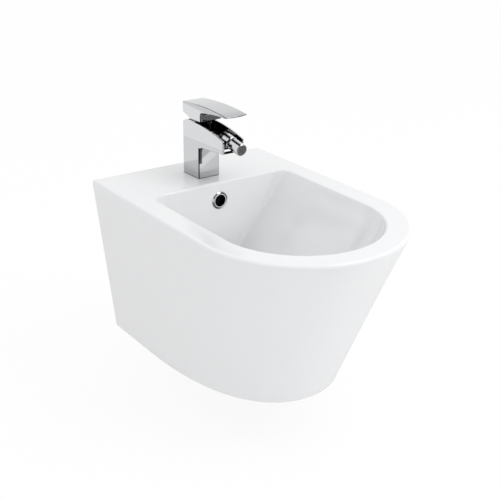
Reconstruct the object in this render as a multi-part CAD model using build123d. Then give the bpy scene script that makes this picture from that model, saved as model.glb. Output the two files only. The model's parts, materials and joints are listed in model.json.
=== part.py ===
"""Wall-hung bidet with a single-lever mixer tap and a push-plug waste.

Millimetres. The origin is midway between the two wall fixing holes, on the wall plane.
+X is to the right seen from the front, +Y goes into the wall and +Z is up.
"""

from build123d import *
import os
from math import cos, pi, radians, sin, sqrt

os.makedirs("parts", exist_ok=True)

# Ceramic outside
BODY_WIDTH = 360.0
BACK_SPARE = 10.0
STRAIGHT_SIDE = 350.0
BODY_HEIGHT = 296.0
RIM_Z = 85.0
FOOT_WIDTH = 293.0
FOOT_LENGTH = 404.0
FOOT_STRAIGHT_SIDE = 127.0
FOOT_HANDLE = 0.64
RIM_ROUNDING = 5.0
FOOT_ROUNDING = 5.0

# Ceramic walls
OUTER_WALL = 10.5
BACK_WALL = 15.0
DECK_THICKNESS = 15.0
FOOT_LIP_HEIGHT = 14.0
FOOT_LIP_WIDTH = 22.0

# Bowl
RIM_WIDTH = 41.0
BOWL_BACK = 131.0
BOWL_DEPTH = 140.0
BOWL_CORNER = 25.0
FLOOR_CORNER = 14.0
FLOOR_HALF = 34.0
DRAIN_FORWARD = 168.0
NOSE_POWER = 1.9
BOWL_ROUNDING = 4.0
BOWL_WALL = 13.0
FLOOR_WALL = 12.0
BOWL_STEPS = (0.0, 0.2, 0.4, 0.6, 0.76, 0.88, 0.96, 1.0)

# Drain boss, overflow and service opening
DRAIN_HOLE = 46.0
DRAIN_BOSS_WALL = 14.0
DRAIN_BOSS_DEPTH = 42.0
FLANGE_DIAMETER = 63.0
FLANGE_THICKNESS = 3.0
FLANGE_RECESS = 2.4
OVERFLOW_DROP = 33.5
OVERFLOW_HOLE = 24.0
CHANNEL_WIDTH = 36.0
CHANNEL_DEPTH = 12.0
CHANNEL_HEIGHT = 14.0
CHANNEL_WALL = 8.0
CHANNEL_ABOVE_HOLE = 4.0
CHANNEL_BELOW_SEAL = 8.0
CHANNEL_OVERLAP = 1.0
SERVICE_WIDTH = 120.0
SERVICE_TOP = 30.0
RING_SLEEVE = 9.0
RING_SLEEVE_WALL = 1.2
RING_FACE = 3.5
RING_EDGE = 0.9
RING_SLOPE = 1.4
RING_HEIGHT = 2.0

# Wall fixings, for M12 rods
FIXING_SPACING = 180.0
FIXING_HOLE = 18.0
ROD_CLEARANCE_HOLE = 13.0
SLEEVE_FLANGE = 28.0
SLEEVE_FLANGE_THICKNESS = 2.0
WALL_WASHER = 26.0
WALL_WASHER_HOLE = 13.5
WALL_WASHER_THICKNESS = 2.5
WALL_NUT_FLATS = 18.0
WALL_NUT_HEIGHT = 10.8
WALL_NUT_BORE = 10.5

# Tap body, measured forward of its back face and up from the deck
TAP_BACK = 47.0
TAP_WIDTH = 43.0
TAP_DEPTH = 50.0
TAP_HOLE = 35.0
GASKET_THICKNESS = 0.8
GASKET_INSET = 0.8
GASKET_OPENING = 33.0
BODY_BACK_TOP = 93.5
BODY_TOP = 98.3
SHOULDER_ROUND = 5.0
SHOULDER_RISE = 1.4
TOP_FLAT_START = 16.0
TOP_FLAT_END = 56.0
TOP_BEND = 88.0
TOP_BEND_DROP = 4.2
TOP_SLOPE = 108.0
TOP_SLOPE_DROP = 8.3
SPOUT_REACH = 125.0
SPOUT_NOSE_TOP = 85.8
SPOUT_NOSE_LOW = 63.5
SPOUT_UNDER = 59.0
SPOUT_INNER_RADIUS = 13.0
TAP_EDGE = 1.0
CHEEK = 3.5
TOWER_TOP = 95.5
TOWER_WALL = 3.0
TROUGH_BACK = 86.5
TROUGH_FRONT = 84.5
POCKET_BACK = 97.0
SPOUT_LIP = 1.5

# Inlets and fixing stud in the tap's base
INLET_RADIUS = 4.5
INLET_DEPTH = 12.0
INLET_OFFSET_X = 8.0
INLET_OFFSET_BACK = 3.0
SUPPLY_RADIUS = 3.0
STUD_RADIUS = 4.0
STUD_OFFSET_FRONT = 11.5
STUD_ENGAGE = 12.0
STUD_BELOW_NUT = 6.0
CLAMP_RADIUS = 23.0
CLAMP_SLOT = 28.0
CLAMP_SLOT_FRONT = 3.0
CLAMP_GASKET_THICKNESS = 3.0
CLAMP_PLATE_THICKNESS = 2.5
CLAMP_NUT_FLATS = 13.0
CLAMP_NUT_HEIGHT = 12.0

# Cartridge stack, up from its seat in the tap body
CARTRIDGE_SEAT = 61.0
CARTRIDGE_RADIUS = 17.4
CARTRIDGE_WALL = 3.2
BASE_LIFT = 0.6
BASE_HEIGHT = 9.4
SEAL_RADIUS = 4.6
SEAL_WALL = 1.6
SEAL_HEIGHT = 2.0
PORT_RADIUS = 3.0
PORT_OFFSET = 6.6
OUTLET_RADIUS = 3.5
OUTLET_DROP = 3.0
DISC_RADIUS = 13.4
DISC_HEIGHT = 3.5
SLIDER_RADIUS = 10.5
CARRIER_RADIUS = 10.8
CARRIER_HEIGHT = 5.0
CARRIER_FLOOR = 0.7
DRIVER_HEIGHT = 6.0
DRIVER_NECK = 10.9
DRIVER_RISE = 1.0
DRIVER_SLOT = 4.2
HOUSING_LIP = 2.5
PIVOT_ABOVE_CARRIER = 4.0
PIN_RADIUS = 1.5
PIN_END = 1.0
STEM_WIDTH = 8.0
STEM_DEPTH = 7.0
STEM_TOP = 121.0
STEM_BALL = 2.6
STEM_BALL_DROP = 5.3
STEM_NECK = 1.8
STEM_BELOW_PIN = 1.0
NUT_RADIUS = 18.3
NUT_HEIGHT = 4.0
NUT_BORE = 11.6
DOME_RADIUS = 17.7
DOME_HEIGHT = 4.0
DOME_OPENING = 10.6
DOME_ROUNDING = 1.5

# Lever, measured as the tap body is
LEVER_LENGTH = 136.0
LEVER_FRONT_BOW = 3.0
HUB_LENGTH = 56.0
HUB_BACK_LOW = 111.0
HUB_LOW = 103.5
HUB_SLOPE_END = 20.0
HUB_SLOPE_LOW = 105.0
HUB_CORNER = 4.0
HUB_THROAT = 6.0
LEVER_BACK_TOP = 129.5
LEVER_CROWN_START = 34.0
LEVER_CROWN = 68.0
LEVER_CROWN_RISE = 3.7
LEVER_CROWN_END = 102.0
LEVER_END_RISE = 2.6
LEVER_FRONT_TOP = 129.2
LEVER_TIP = 2.0
LEVER_THIN = 104.0
LEVER_THIN_RISE = 5.0
LEVER_WALL = 3.0
LEVER_UNDER = 120.5
HUB_BOSS_WALL = 4.0
GRUB_RADIUS = 2.5
GRUB_HEIGHT = 112.5
GRUB_LENGTH = 5.0
PLUG_RADIUS = 3.2
PLUG_LENGTH = 2.6
PLUG_EDGE = 0.3
PLUG_SLOPE = 0.6
PLUG_CROWN = 0.8

# Swivel nozzle: distances run along its own axis from the ball's centre
BALL_FORWARD = 117.3
BALL_HEIGHT = 80.2
NOZZLE_DROOP = 10.0
BALL_RADIUS = 8.0
SEAT_WALL = 1.1
SEAT_HALF = 1.2
COLLAR_RADIUS = 11.2
COLLAR_BACK = 6.0
COLLAR_FRONT = 4.6
COLLAR_CLOSES = 3.4
COLLAR_EDGE = 1.0
SOCKET_RADIUS = 10.2
SOCKET_END = 5.9
SOCKET_BACK = 22.0
SOCKET_BACK_WALL = 3.0
SOCKET_BORE = 6.0
SEAL_FRONT = 3.7
NECK_RADIUS = 4.9
NOZZLE_WATERWAY = 2.6
SHOULDER = 8.4
TUBE_RADIUS = 10.5
TUBE_SHOULDER_EDGE = 1.0
TUBE_END_EDGE = 0.6
TUBE_WALL = 1.3
TUBE_FLOOR = 2.0
NOZZLE_END = 33.6
AERATOR_INSET = 0.6
AERATOR_LENGTH = 10.0
AERATOR_RIM = 1.5
AERATOR_FACE = 3.0
AERATOR_HOLE = 0.8
AERATOR_RINGS = ((0.0, 1), (2.8, 6), (5.6, 12))
AERATOR_WASHER = 1.6
AERATOR_WASHER_WIDTH = 2.4
AERATOR_SLEEVE = 1.0

# Waste, for a G1 1/4 tail
TAIL_RADIUS = 20.95
TAIL_WALL = 2.2
TAIL_BELOW_NUT = 32.0
TAIL_GROOVE = 1.5
TAIL_GROOVE_DEPTH = 0.6
FLANGE_EDGE = 1.0
FLANGE_SLOPE = 2.0
WASTE_SLOT_WIDTH = 14.0
WASTE_SLOT_HEIGHT = 16.0
UPPER_SEAL_THICKNESS = 1.6
UPPER_SEAL_INSET = 1.0
LOWER_SEAL_THICKNESS = 4.0
BACKNUT_RADIUS = 28.5
BACKNUT_HEIGHT = 8.0
BACKNUT_SIDES = 8
CROSSBAR_DROP = 26.0
CROSSBAR_WIDTH = 7.0
CROSSBAR_HEIGHT = 4.0
CLICK_RADIUS = 6.5
CLICK_WALL = 1.2
CLICK_BOSS = 2.0
CLICK_TOP = 2.0
CLICK_FLOOR = 1.5
CLICK_ABOVE = 14.0
CLICK_BELOW = 8.0
PLUG_STEM_RADIUS = 3.0
PLUG_CAP_RADIUS = 26.5
PLUG_CAP_EDGE = 2.2
PLUG_CAP_CROWN = 2.4
PLUG_CAP_CHAMFER = 0.8
PLUG_LIFT = 9.0
PLUG_SEAL_RADIUS = 17.0
PLUG_SEAL_THICKNESS = 2.0
PLUG_TRAVEL = 8.0
PLUG_STEM_SPARE = 5.0
PLUG_STEM_COLLAR = 2.0
SPRING_WIRE = 0.5
SPRING_TURNS = 5

# Clearances
THREAD_FIT = 0.03
SNUG = 0.1
RUNNING = 0.06
LOOSE = 0.3

# Places worked out from the sizes above
HALF_WIDTH = BODY_WIDTH / 2
FOOT_Z = RIM_Z - BODY_HEIGHT
HALF_FOOT = FOOT_WIDTH / 2
FLOOR_Z = RIM_Z - BOWL_DEPTH
BOSS_Z = FLOOR_Z - DRAIN_BOSS_DEPTH
DECK_UNDER = RIM_Z - DECK_THICKNESS
BOWL_NOSE = STRAIGHT_SIDE + HALF_WIDTH - RIM_WIDTH
DRAIN_NOSE = DRAIN_FORWARD + FLOOR_HALF
TAP_MIDDLE = TAP_DEPTH / 2
TAP_AXIS = TAP_BACK + TAP_MIDDLE
TAP_HALF = TAP_WIDTH / 2
CHEEK_INSIDE = TAP_HALF - CHEEK
CAVITY_RADIUS = CARTRIDGE_RADIUS + SNUG
PAST = 1.0


def cylinder(radius, start, end):
    """A solid cylinder between two points."""
    span = Vector(*end) - Vector(*start)
    return Solid.make_cylinder(radius, span.length, Plane(origin=start, z_dir=span))


def tube(outer, inner, start, end):
    """A pipe between two points."""
    return cylinder(outer, start, end) - cylinder(inner, start, end)


def block(low, high):
    """A box between its lowest and highest corners."""
    size = [top - bottom for bottom, top in zip(low, high)]
    return Solid.make_box(*size, Plane(origin=low))


def turned(profile, place):
    """A profile of (radius, height) points, turned about the place's Z axis."""
    corners = [(radius, 0, height) for radius, height in profile]
    outline = make_face(Polyline(*corners, close=True).edges())
    return place * revolve(outline, Axis.Z)


def upright(forward, height):
    """A plane on the tap's centre line, with Z up."""
    return Plane(origin=tap_point(0, forward, height), z_dir=(0, 0, 1))


def tap_point(x, forward, height):
    """A place on the tap, forward of its back face and up from the deck."""
    return (x, -TAP_BACK - forward, RIM_Z + height)


def side_solid(edges, half_width):
    """An outline drawn in the side plane, made equally thick either side of the middle."""
    return extrude(make_face(edges), amount=half_width, dir=(1, 0, 0), both=True)


def side_outline(points):
    """Straight edges through (forward, height) points on the tap's centre line."""
    return Polyline(*[tap_point(0, *point) for point in points], close=True).edges()


def hexagon(flats, bore, start, height):
    """A hexagon nut with its bore, upwards from its lower face."""
    place = Plane(origin=start, z_dir=(0, 0, 1))
    body = place * extrude(RegularPolygon(flats / 2, 6, major_radius=False), height)
    end = (start[0], start[1], start[2] + height)
    return body - cylinder(bore, start, end)


# Ceramic


def top_outline(inset, back, z):
    """The rim's outline: straight sides and a half-circle front."""
    half = HALF_WIDTH - inset
    front = -STRAIGHT_SIDE
    slant = half * sqrt(0.5)
    edges = [
        Line((-half, back, z), (half, back, z)),
        Line((half, back, z), (half, front, z)),
        ThreePointArc((half, front, z), (slant, front - slant, z), (0, front - half, z)),
        ThreePointArc((0, front - half, z), (-slant, front - slant, z), (-half, front, z)),
        Line((-half, front, z), (-half, back, z)),
    ]
    return make_face(edges)


def foot_outline(inset, back, z):
    """The foot's outline: straight sides and a fuller, nearly elliptical front."""
    half = HALF_FOOT - inset
    side = -FOOT_STRAIGHT_SIDE
    nose = inset - FOOT_LENGTH
    reach = FOOT_HANDLE * (side - nose)
    spread = FOOT_HANDLE * half
    right = [(half, side, z), (half, side - reach, z), (spread, nose, z), (0, nose, z)]
    left = [(-x, y, height) for x, y, height in reversed(right)]
    edges = [
        Line((-half, back, z), (half, back, z)),
        Line((half, back, z), (half, side, z)),
        Bezier(*right),
        Bezier(*left),
        Line((-half, side, z), (-half, back, z)),
    ]
    return make_face(edges)


def shell_form(inset, back):
    """The body's outer form, drawn in by an inset, from the foot to the rim."""
    return loft([foot_outline(inset, back, FOOT_Z), top_outline(inset, back, RIM_Z)], ruled=True)


def bowl_outline(step, grow, depth):
    """The bowl's outline at one share of its depth: straight back, half-circle front."""
    z = RIM_Z - depth * step
    rim_half = HALF_WIDTH - RIM_WIDTH
    half = rim_half + (FLOOR_HALF - rim_half) * step + grow
    corner = BOWL_CORNER + (FLOOR_CORNER - BOWL_CORNER) * step + grow / 2
    rise = (1 - step**NOSE_POWER) ** (1 / NOSE_POWER)
    nose = -DRAIN_NOSE - (BOWL_NOSE - DRAIN_NOSE) * rise - grow
    back = grow - BOWL_BACK
    centre = nose + half
    slant = half * sqrt(0.5)
    bend = corner * (1 - sqrt(0.5))
    edges = [
        Line((corner - half, back, z), (half - corner, back, z)),
        ThreePointArc(
            (half - corner, back, z), (half - bend, back - bend, z), (half, back - corner, z)
        ),
        Line((half, back - corner, z), (half, centre, z)),
        ThreePointArc((half, centre, z), (slant, centre - slant, z), (0, nose, z)),
        ThreePointArc((0, nose, z), (-slant, centre - slant, z), (-half, centre, z)),
        Line((-half, centre, z), (-half, back - corner, z)),
        ThreePointArc(
            (-half, back - corner, z), (bend - half, back - bend, z), (corner - half, back, z)
        ),
    ]
    return make_face(edges)


def bowl_form(grow, depth):
    """The bowl's hollow, or with a grow its wall's outer side."""
    return loft([bowl_outline(step, grow, depth) for step in BOWL_STEPS])


def drain_boss():
    """The thick ring round the drain hole, down to the waste's lower seal."""
    radius = DRAIN_HOLE / 2 + DRAIN_BOSS_WALL
    top = FLOOR_Z - FLOOR_WALL / 2
    return cylinder(radius, (0, -DRAIN_FORWARD, BOSS_Z), (0, -DRAIN_FORWARD, top))


def overflow_channel(wall):
    """The water's way from the overflow hole to the drain hole, or with a wall its casing."""
    half = CHANNEL_WIDTH / 2 + wall
    hole_z = RIM_Z - OVERFLOW_DROP
    top = hole_z + OVERFLOW_HOLE / 2 + CHANNEL_ABOVE_HOLE + wall
    low = BOSS_Z + CHANNEL_BELOW_SEAL - wall
    tunnel_top = BOSS_Z + CHANNEL_BELOW_SEAL + CHANNEL_HEIGHT + wall
    rear = BOWL_WALL + CHANNEL_DEPTH + wall - BOWL_BACK
    front = BOWL_WALL - BOWL_BACK - (CHANNEL_OVERLAP if wall else 0.0)
    shaft = block((-half, front, low), (half, rear, top))
    tunnel = block((-half, -DRAIN_FORWARD, low), (half, rear, tunnel_top))
    return shaft + tunnel


def fired_body():
    """The three castings as one: shell, bowl, deck, back wall, drain boss and channel."""
    outside = shell_form(0, BACK_SPARE)
    outside -= block((-BODY_WIDTH, 0, FOOT_Z - PAST), (BODY_WIDTH, BODY_WIDTH, RIM_Z + PAST))
    lip_top = FOOT_Z + FOOT_LIP_HEIGHT
    room = shell_form(OUTER_WALL, -BACK_WALL)
    hollow = room & block((-BODY_WIDTH, -2 * BODY_WIDTH, lip_top), (BODY_WIDTH, 0, DECK_UNDER))
    hollow -= bowl_form(BOWL_WALL, BOWL_DEPTH + FLOOR_WALL)
    hollow -= drain_boss()
    hollow -= overflow_channel(CHANNEL_WALL)
    mouth = shell_form(OUTER_WALL + FOOT_LIP_WIDTH, -BACK_WALL - FOOT_LIP_WIDTH)
    mouth &= block((-BODY_WIDTH, -2 * BODY_WIDTH, FOOT_Z), (BODY_WIDTH, 0, lip_top))
    body = outside - bowl_form(0, BOWL_DEPTH)
    body = round_edges(body)
    body -= hollow
    body -= mouth
    body -= overflow_channel(0)
    body -= ceramic_holes()
    return body


def ceramic_castings():
    """The rim with the deck, the bowl and the shell, cast apart and joined before firing."""
    body = fired_body()
    joint = block((-BODY_WIDTH, -2 * BODY_WIDTH, DECK_UNDER), (BODY_WIDTH, 0, RIM_Z + PAST))
    under = (body - joint).solids()
    bowl, shell = sorted(under, key=lambda solid: solid.bounding_box().size.X)
    return {"ceramic_rim": body & joint, "ceramic_bowl": bowl, "ceramic_shell": shell}


def round_edges(body):
    """Soft edges round the rim, the bowl's mouth and the foot, all but the wall edge."""
    near = 0.01
    level = [edge for edge in body.edges() if edge.bounding_box().size.Z < near]
    off_wall = [edge for edge in level if edge.bounding_box().min.Y < -near]
    rim = [edge for edge in off_wall if abs(edge.center().Z - RIM_Z) < near]
    foot = [edge for edge in off_wall if abs(edge.center().Z - FOOT_Z) < near]
    limit = HALF_WIDTH - RIM_WIDTH / 2
    front_limit = BOWL_NOSE + RIM_WIDTH / 2
    mouth = []
    outer = []
    for edge in rim:
        box = edge.bounding_box()
        inside = box.max.X < limit and box.min.X > -limit and box.min.Y > -front_limit
        (mouth if inside else outer).append(edge)
    body = body.fillet(RIM_ROUNDING, outer)
    mouth = matching(body, mouth)
    body = body.fillet(BOWL_ROUNDING, mouth)
    foot = matching(body, foot)
    return body.fillet(FOOT_ROUNDING, foot)


def matching(body, edges):
    """The body's edges that lie where the given ones do."""
    centres = [edge.center() for edge in edges]
    return [e for e in body.edges() if any((e.center() - c).length < 0.01 for c in centres)]


def ceramic_holes():
    """Every hole through the casting."""
    hole_z = RIM_Z - OVERFLOW_DROP
    through = BOWL_WALL + CHANNEL_DEPTH / 2 - BOWL_BACK
    drain_top = FLOOR_Z + BOWL_ROUNDING
    half = SERVICE_WIDTH / 2
    cuts = [
        cylinder(TAP_HOLE / 2, (0, -TAP_AXIS, DECK_UNDER), (0, -TAP_AXIS, RIM_Z)),
        cylinder(OVERFLOW_HOLE / 2, (0, -BOWL_BACK - PAST, hole_z), (0, through, hole_z)),
        cylinder(DRAIN_HOLE / 2, (0, -DRAIN_FORWARD, BOSS_Z), (0, -DRAIN_FORWARD, drain_top)),
        cylinder(
            FLANGE_DIAMETER / 2 + LOOSE,
            (0, -DRAIN_FORWARD, FLOOR_Z - FLANGE_RECESS),
            (0, -DRAIN_FORWARD, drain_top),
        ),
        block((-half, -BACK_WALL - FOOT_LIP_WIDTH, FOOT_Z), (half, 0, SERVICE_TOP)),
    ]
    for x in fixing_places():
        cuts.append(cylinder(FIXING_HOLE / 2, (x, -BACK_WALL, 0), (x, 0, 0)))
    return cuts


def fixing_places():
    """The two wall fixings' places across the body."""
    return (-FIXING_SPACING / 2, FIXING_SPACING / 2)


def overflow_ring():
    """The chrome trim ring: a rounded face flange and a sleeve into the hole."""
    outer = OVERFLOW_HOLE / 2 - SNUG
    inner = outer - RING_SLEEVE_WALL
    face = OVERFLOW_HOLE / 2 + RING_FACE
    profile = [
        (inner, -RING_SLEEVE),
        (outer, -RING_SLEEVE),
        (outer, 0),
        (face, 0),
        (face, RING_EDGE),
        (face - RING_SLOPE, RING_HEIGHT),
        (inner, RING_HEIGHT),
    ]
    place = Plane(origin=(0, -BOWL_BACK, RIM_Z - OVERFLOW_DROP), z_dir=(0, -1, 0))
    return turned(profile, place)


# Wall fixings


def wall_sleeve(x):
    """A flanged plastic sleeve that lines one fixing hole."""
    outer = FIXING_HOLE / 2 - SNUG
    bore = ROD_CLEARANCE_HOLE / 2
    flange = SLEEVE_FLANGE / 2
    lip = BACK_WALL + SLEEVE_FLANGE_THICKNESS
    profile = [
        (bore, 0),
        (outer, 0),
        (outer, BACK_WALL),
        (flange, BACK_WALL),
        (flange, lip),
        (bore, lip),
    ]
    return turned(profile, Plane(origin=(x, 0, 0), z_dir=(0, -1, 0)))


def wall_washer(x):
    """A steel washer on one sleeve's flange."""
    near = -BACK_WALL - SLEEVE_FLANGE_THICKNESS
    far = near - WALL_WASHER_THICKNESS
    return tube(WALL_WASHER / 2, WALL_WASHER_HOLE / 2, (x, near, 0), (x, far, 0))


def wall_nut(x):
    """A hexagon nut on one washer, its bore along Y."""
    near = -BACK_WALL - SLEEVE_FLANGE_THICKNESS - WALL_WASHER_THICKNESS
    nut = hexagon(WALL_NUT_FLATS, WALL_NUT_BORE / 2, (0, 0, 0), WALL_NUT_HEIGHT)
    return Plane(origin=(x, near, 0), z_dir=(0, -1, 0)) * nut


# Tap body


def tap_side():
    """The tap body's side outline: column, spout and the curved cheek line."""
    under_start = TAP_DEPTH + SPOUT_INNER_RADIUS
    corner = SPOUT_UNDER - SPOUT_INNER_RADIUS
    bend = SPOUT_INNER_RADIUS * (1 - sqrt(0.5))
    shoulder = (BODY_TOP + BODY_BACK_TOP) / 2 + SHOULDER_RISE
    top = [
        tap_point(0, TOP_FLAT_START, BODY_TOP),
        tap_point(0, TOP_FLAT_END, BODY_TOP),
        tap_point(0, TOP_BEND, BODY_TOP - TOP_BEND_DROP),
        tap_point(0, TOP_SLOPE, BODY_TOP - TOP_SLOPE_DROP),
        tap_point(0, SPOUT_REACH, SPOUT_NOSE_TOP),
    ]
    back_top = tap_point(0, 0, BODY_BACK_TOP)
    back_low = tap_point(0, 0, GASKET_THICKNESS)
    front_low = tap_point(0, TAP_DEPTH, GASKET_THICKNESS)
    front_top = tap_point(0, TAP_DEPTH, corner)
    arc_end = tap_point(0, under_start, SPOUT_UNDER)
    nose = tap_point(0, SPOUT_REACH, SPOUT_NOSE_LOW)
    return [
        Line(back_low, back_top),
        ThreePointArc(back_top, tap_point(0, SHOULDER_ROUND, shoulder), top[0]),
        Spline(*top),
        Line(top[-1], nose),
        Line(nose, arc_end),
        ThreePointArc(arc_end, tap_point(0, TAP_DEPTH + bend, SPOUT_UNDER - bend), front_top),
        Line(front_top, front_low),
        Line(front_low, back_low),
    ]


def nozzle_place(along):
    """A plane square to the nozzle's axis, at a distance from the ball's centre."""
    droop = radians(NOZZLE_DROOP)
    axis = Vector(0, -cos(droop), -sin(droop))
    centre = Vector(*tap_point(0, BALL_FORWARD, BALL_HEIGHT))
    return Plane(origin=centre + axis * along, x_dir=(1, 0, 0), z_dir=axis)


def trough():
    """The open space between the cheeks, with the cartridge's tower left standing."""
    tower = CAVITY_RADIUS + TOWER_WALL
    sky = 2 * BODY_TOP
    nose = SPOUT_REACH + PAST
    points = [
        (TAP_MIDDLE, TROUGH_BACK),
        (TAP_MIDDLE + tower, TROUGH_BACK),
        (POCKET_BACK, TROUGH_FRONT),
        (POCKET_BACK, SPOUT_UNDER + SPOUT_LIP),
        (nose, SPOUT_NOSE_LOW + SPOUT_LIP),
        (nose, sky),
        (TAP_MIDDLE, sky),
    ]
    space = side_solid(side_outline(points), CHEEK_INSIDE)
    post = cylinder(tower, tap_point(0, TAP_MIDDLE, 0), tap_point(0, TAP_MIDDLE, TOWER_TOP))
    space -= post
    over = cylinder(CHEEK_INSIDE, tap_point(0, TAP_MIDDLE, TOWER_TOP), tap_point(0, TAP_MIDDLE, sky))
    return space + over


def tap_body():
    """The brass casting: column, spout, cartridge tower, waterways and nozzle socket."""
    body = side_solid(tap_side(), TAP_HALF)
    base = RIM_Z + GASKET_THICKNESS
    soft = [edge for edge in body.edges() if edge.center().Z > base + SNUG]
    body = body.fillet(TAP_EDGE, soft)
    body -= trough()
    body += nozzle_place(-SOCKET_BACK) * Solid.make_cylinder(SOCKET_RADIUS, SOCKET_BACK - SOCKET_END)
    body -= cartridge_room()
    body -= waterways()
    return body


def cartridge_room():
    """The bore for the cartridge, and above it the wider one for the retaining nut."""
    seat = tap_point(0, TAP_MIDDLE, CARTRIDGE_SEAT)
    nut = tap_point(0, TAP_MIDDLE, nut_seat())
    over = tap_point(0, TAP_MIDDLE, TOWER_TOP + PAST)
    return cylinder(CAVITY_RADIUS, seat, nut) + cylinder(NUT_RADIUS + THREAD_FIT, nut, over)


def waterways():
    """The inlets, the stud's hole, the supply bores and the way to the nozzle."""
    cuts = []
    forward = TAP_MIDDLE - INLET_OFFSET_BACK
    top = GASKET_THICKNESS + INLET_DEPTH
    for side in (-1, 1):
        x = side * INLET_OFFSET_X
        cuts.append(cylinder(INLET_RADIUS, tap_point(x, forward, 0), tap_point(x, forward, top)))
        x = side * PORT_OFFSET
        seat = tap_point(x, forward, CARTRIDGE_SEAT)
        cuts.append(cylinder(SUPPLY_RADIUS, tap_point(x, forward, top), seat))
    stud = TAP_MIDDLE + STUD_OFFSET_FRONT
    stud_top = tap_point(0, stud, GASKET_THICKNESS + STUD_ENGAGE)
    cuts.append(cylinder(STUD_RADIUS + THREAD_FIT, tap_point(0, stud, 0), stud_top))
    outlet = tap_point(0, TAP_MIDDLE + DISC_RADIUS, stack(BASE_HEIGHT / 2))
    chamber = nozzle_place(SOCKET_BACK_WALL - SOCKET_BACK)
    entry = chamber.origin - Vector(0, 0, OUTLET_DROP)
    cuts.append(cylinder(OUTLET_RADIUS, outlet, tuple(entry)))
    cuts.append(chamber * Solid.make_cylinder(SOCKET_BORE, SOCKET_BACK))
    return cuts


def nut_seat():
    """How high above the deck the retaining nut's lower face is."""
    return housing_top()


def stack(*heights):
    """A level above the deck: the cartridge's seat and the heights on it."""
    return CARTRIDGE_SEAT + BASE_LIFT + sum(heights)


def disc_level():
    """The fixed disc's lower face."""
    return stack(BASE_HEIGHT)


def slider_level():
    """The sliding disc's lower face."""
    return stack(BASE_HEIGHT, DISC_HEIGHT)


def carrier_level():
    """The disc carrier's lower face."""
    return stack(BASE_HEIGHT, DISC_HEIGHT, DISC_HEIGHT)


def driver_level():
    """The driver's lower face."""
    return carrier_level() + CARRIER_HEIGHT


def pivot_level():
    """The stem's pivot."""
    return driver_level() + PIVOT_ABOVE_CARRIER


def housing_top():
    """The cartridge housing's top face."""
    return driver_level() + DRIVER_HEIGHT + HOUSING_LIP


def base_gasket():
    """The flat gasket between the tap and the deck."""
    half = TAP_HALF - GASKET_INSET
    top = RIM_Z + GASKET_THICKNESS
    low = (-half, -TAP_BACK - TAP_DEPTH + GASKET_INSET, RIM_Z)
    high = (half, -TAP_BACK - GASKET_INSET, top)
    opening = cylinder(GASKET_OPENING / 2, (0, -TAP_AXIS, RIM_Z), (0, -TAP_AXIS, top))
    return block(low, high) - opening


# Tap fixing set under the deck


def stud_y():
    """The fixing stud's place front to back."""
    return -TAP_AXIS - STUD_OFFSET_FRONT


def clamp_levels():
    """The faces of the stack under the deck, from the deck down to the stud's end."""
    gasket = DECK_UNDER - CLAMP_GASKET_THICKNESS
    plate = gasket - CLAMP_PLATE_THICKNESS
    nut = plate - CLAMP_NUT_HEIGHT
    return DECK_UNDER, gasket, plate, nut, nut - STUD_BELOW_NUT


def horseshoe(top, low):
    """A round plate under the deck, with a slot for the hoses and a hole for the stud."""
    disc = cylinder(CLAMP_RADIUS, (0, -TAP_AXIS, low), (0, -TAP_AXIS, top))
    half = CLAMP_SLOT / 2
    disc -= block((-half, -TAP_AXIS - CLAMP_SLOT_FRONT, low), (half, 0, top))
    return disc - cylinder(STUD_RADIUS + LOOSE, (0, stud_y(), low), (0, stud_y(), top))


def fixing_stud():
    """The threaded stud from the tap's base through the clamp."""
    top = RIM_Z + GASKET_THICKNESS + STUD_ENGAGE
    return cylinder(STUD_RADIUS, (0, stud_y(), clamp_levels()[4]), (0, stud_y(), top))


def clamp_nut():
    """The long nut that pulls the clamp plate up."""
    start = (0, stud_y(), clamp_levels()[3])
    return hexagon(CLAMP_NUT_FLATS, STUD_RADIUS + THREAD_FIT, start, CLAMP_NUT_HEIGHT)


# Cartridge


def cartridge_housing():
    """The plastic cup round the discs, with a lip over the driver and an outlet window."""
    inner = CARTRIDGE_RADIUS - CARTRIDGE_WALL
    top = housing_top()
    lip = top - HOUSING_LIP
    neck = DRIVER_NECK + RUNNING
    low = stack()
    profile = [
        (inner, low),
        (CARTRIDGE_RADIUS, low),
        (CARTRIDGE_RADIUS, top),
        (neck, top),
        (neck, lip),
        (inner, lip),
    ]
    cup = turned(profile, upright(TAP_MIDDLE, 0))
    window = tap_point(0, TAP_MIDDLE, stack(BASE_HEIGHT / 2))
    beyond = tap_point(0, TAP_MIDDLE + CARTRIDGE_RADIUS + PAST, stack(BASE_HEIGHT / 2))
    return cup - cylinder(OUTLET_RADIUS, window, beyond)


def port_places():
    """The three ports: two inlets at the back and the outlet at the front."""
    return ((-PORT_OFFSET, INLET_OFFSET_BACK), (PORT_OFFSET, INLET_OFFSET_BACK), (0, -PORT_OFFSET))


def port_holes(low, high, places):
    """Round ports between two levels."""
    holes = []
    for x, back in places:
        forward = TAP_MIDDLE - back
        holes.append(cylinder(PORT_RADIUS, tap_point(x, forward, low), tap_point(x, forward, high)))
    return holes


def cartridge_base():
    """The plastic base under the discs, with ports, seal pockets and a side outlet."""
    radius = CARTRIDGE_RADIUS - CARTRIDGE_WALL - SNUG
    body = cylinder(radius, tap_point(0, TAP_MIDDLE, stack()), tap_point(0, TAP_MIDDLE, disc_level()))
    places = port_places()
    body -= port_holes(stack(), disc_level(), places[:2])
    outlet = stack(BASE_HEIGHT / 2)
    body -= port_holes(outlet, disc_level(), places[2:])
    side = tap_point(0, TAP_MIDDLE + CARTRIDGE_RADIUS, outlet)
    body -= cylinder(OUTLET_RADIUS, tap_point(0, TAP_MIDDLE + PORT_OFFSET, outlet), side)
    for x, back in places[:2]:
        forward = TAP_MIDDLE - back
        pocket = tap_point(x, forward, CARTRIDGE_SEAT + SEAL_HEIGHT)
        body -= cylinder(SEAL_RADIUS + SNUG, tap_point(x, forward, stack()), pocket)
    return body


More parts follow.
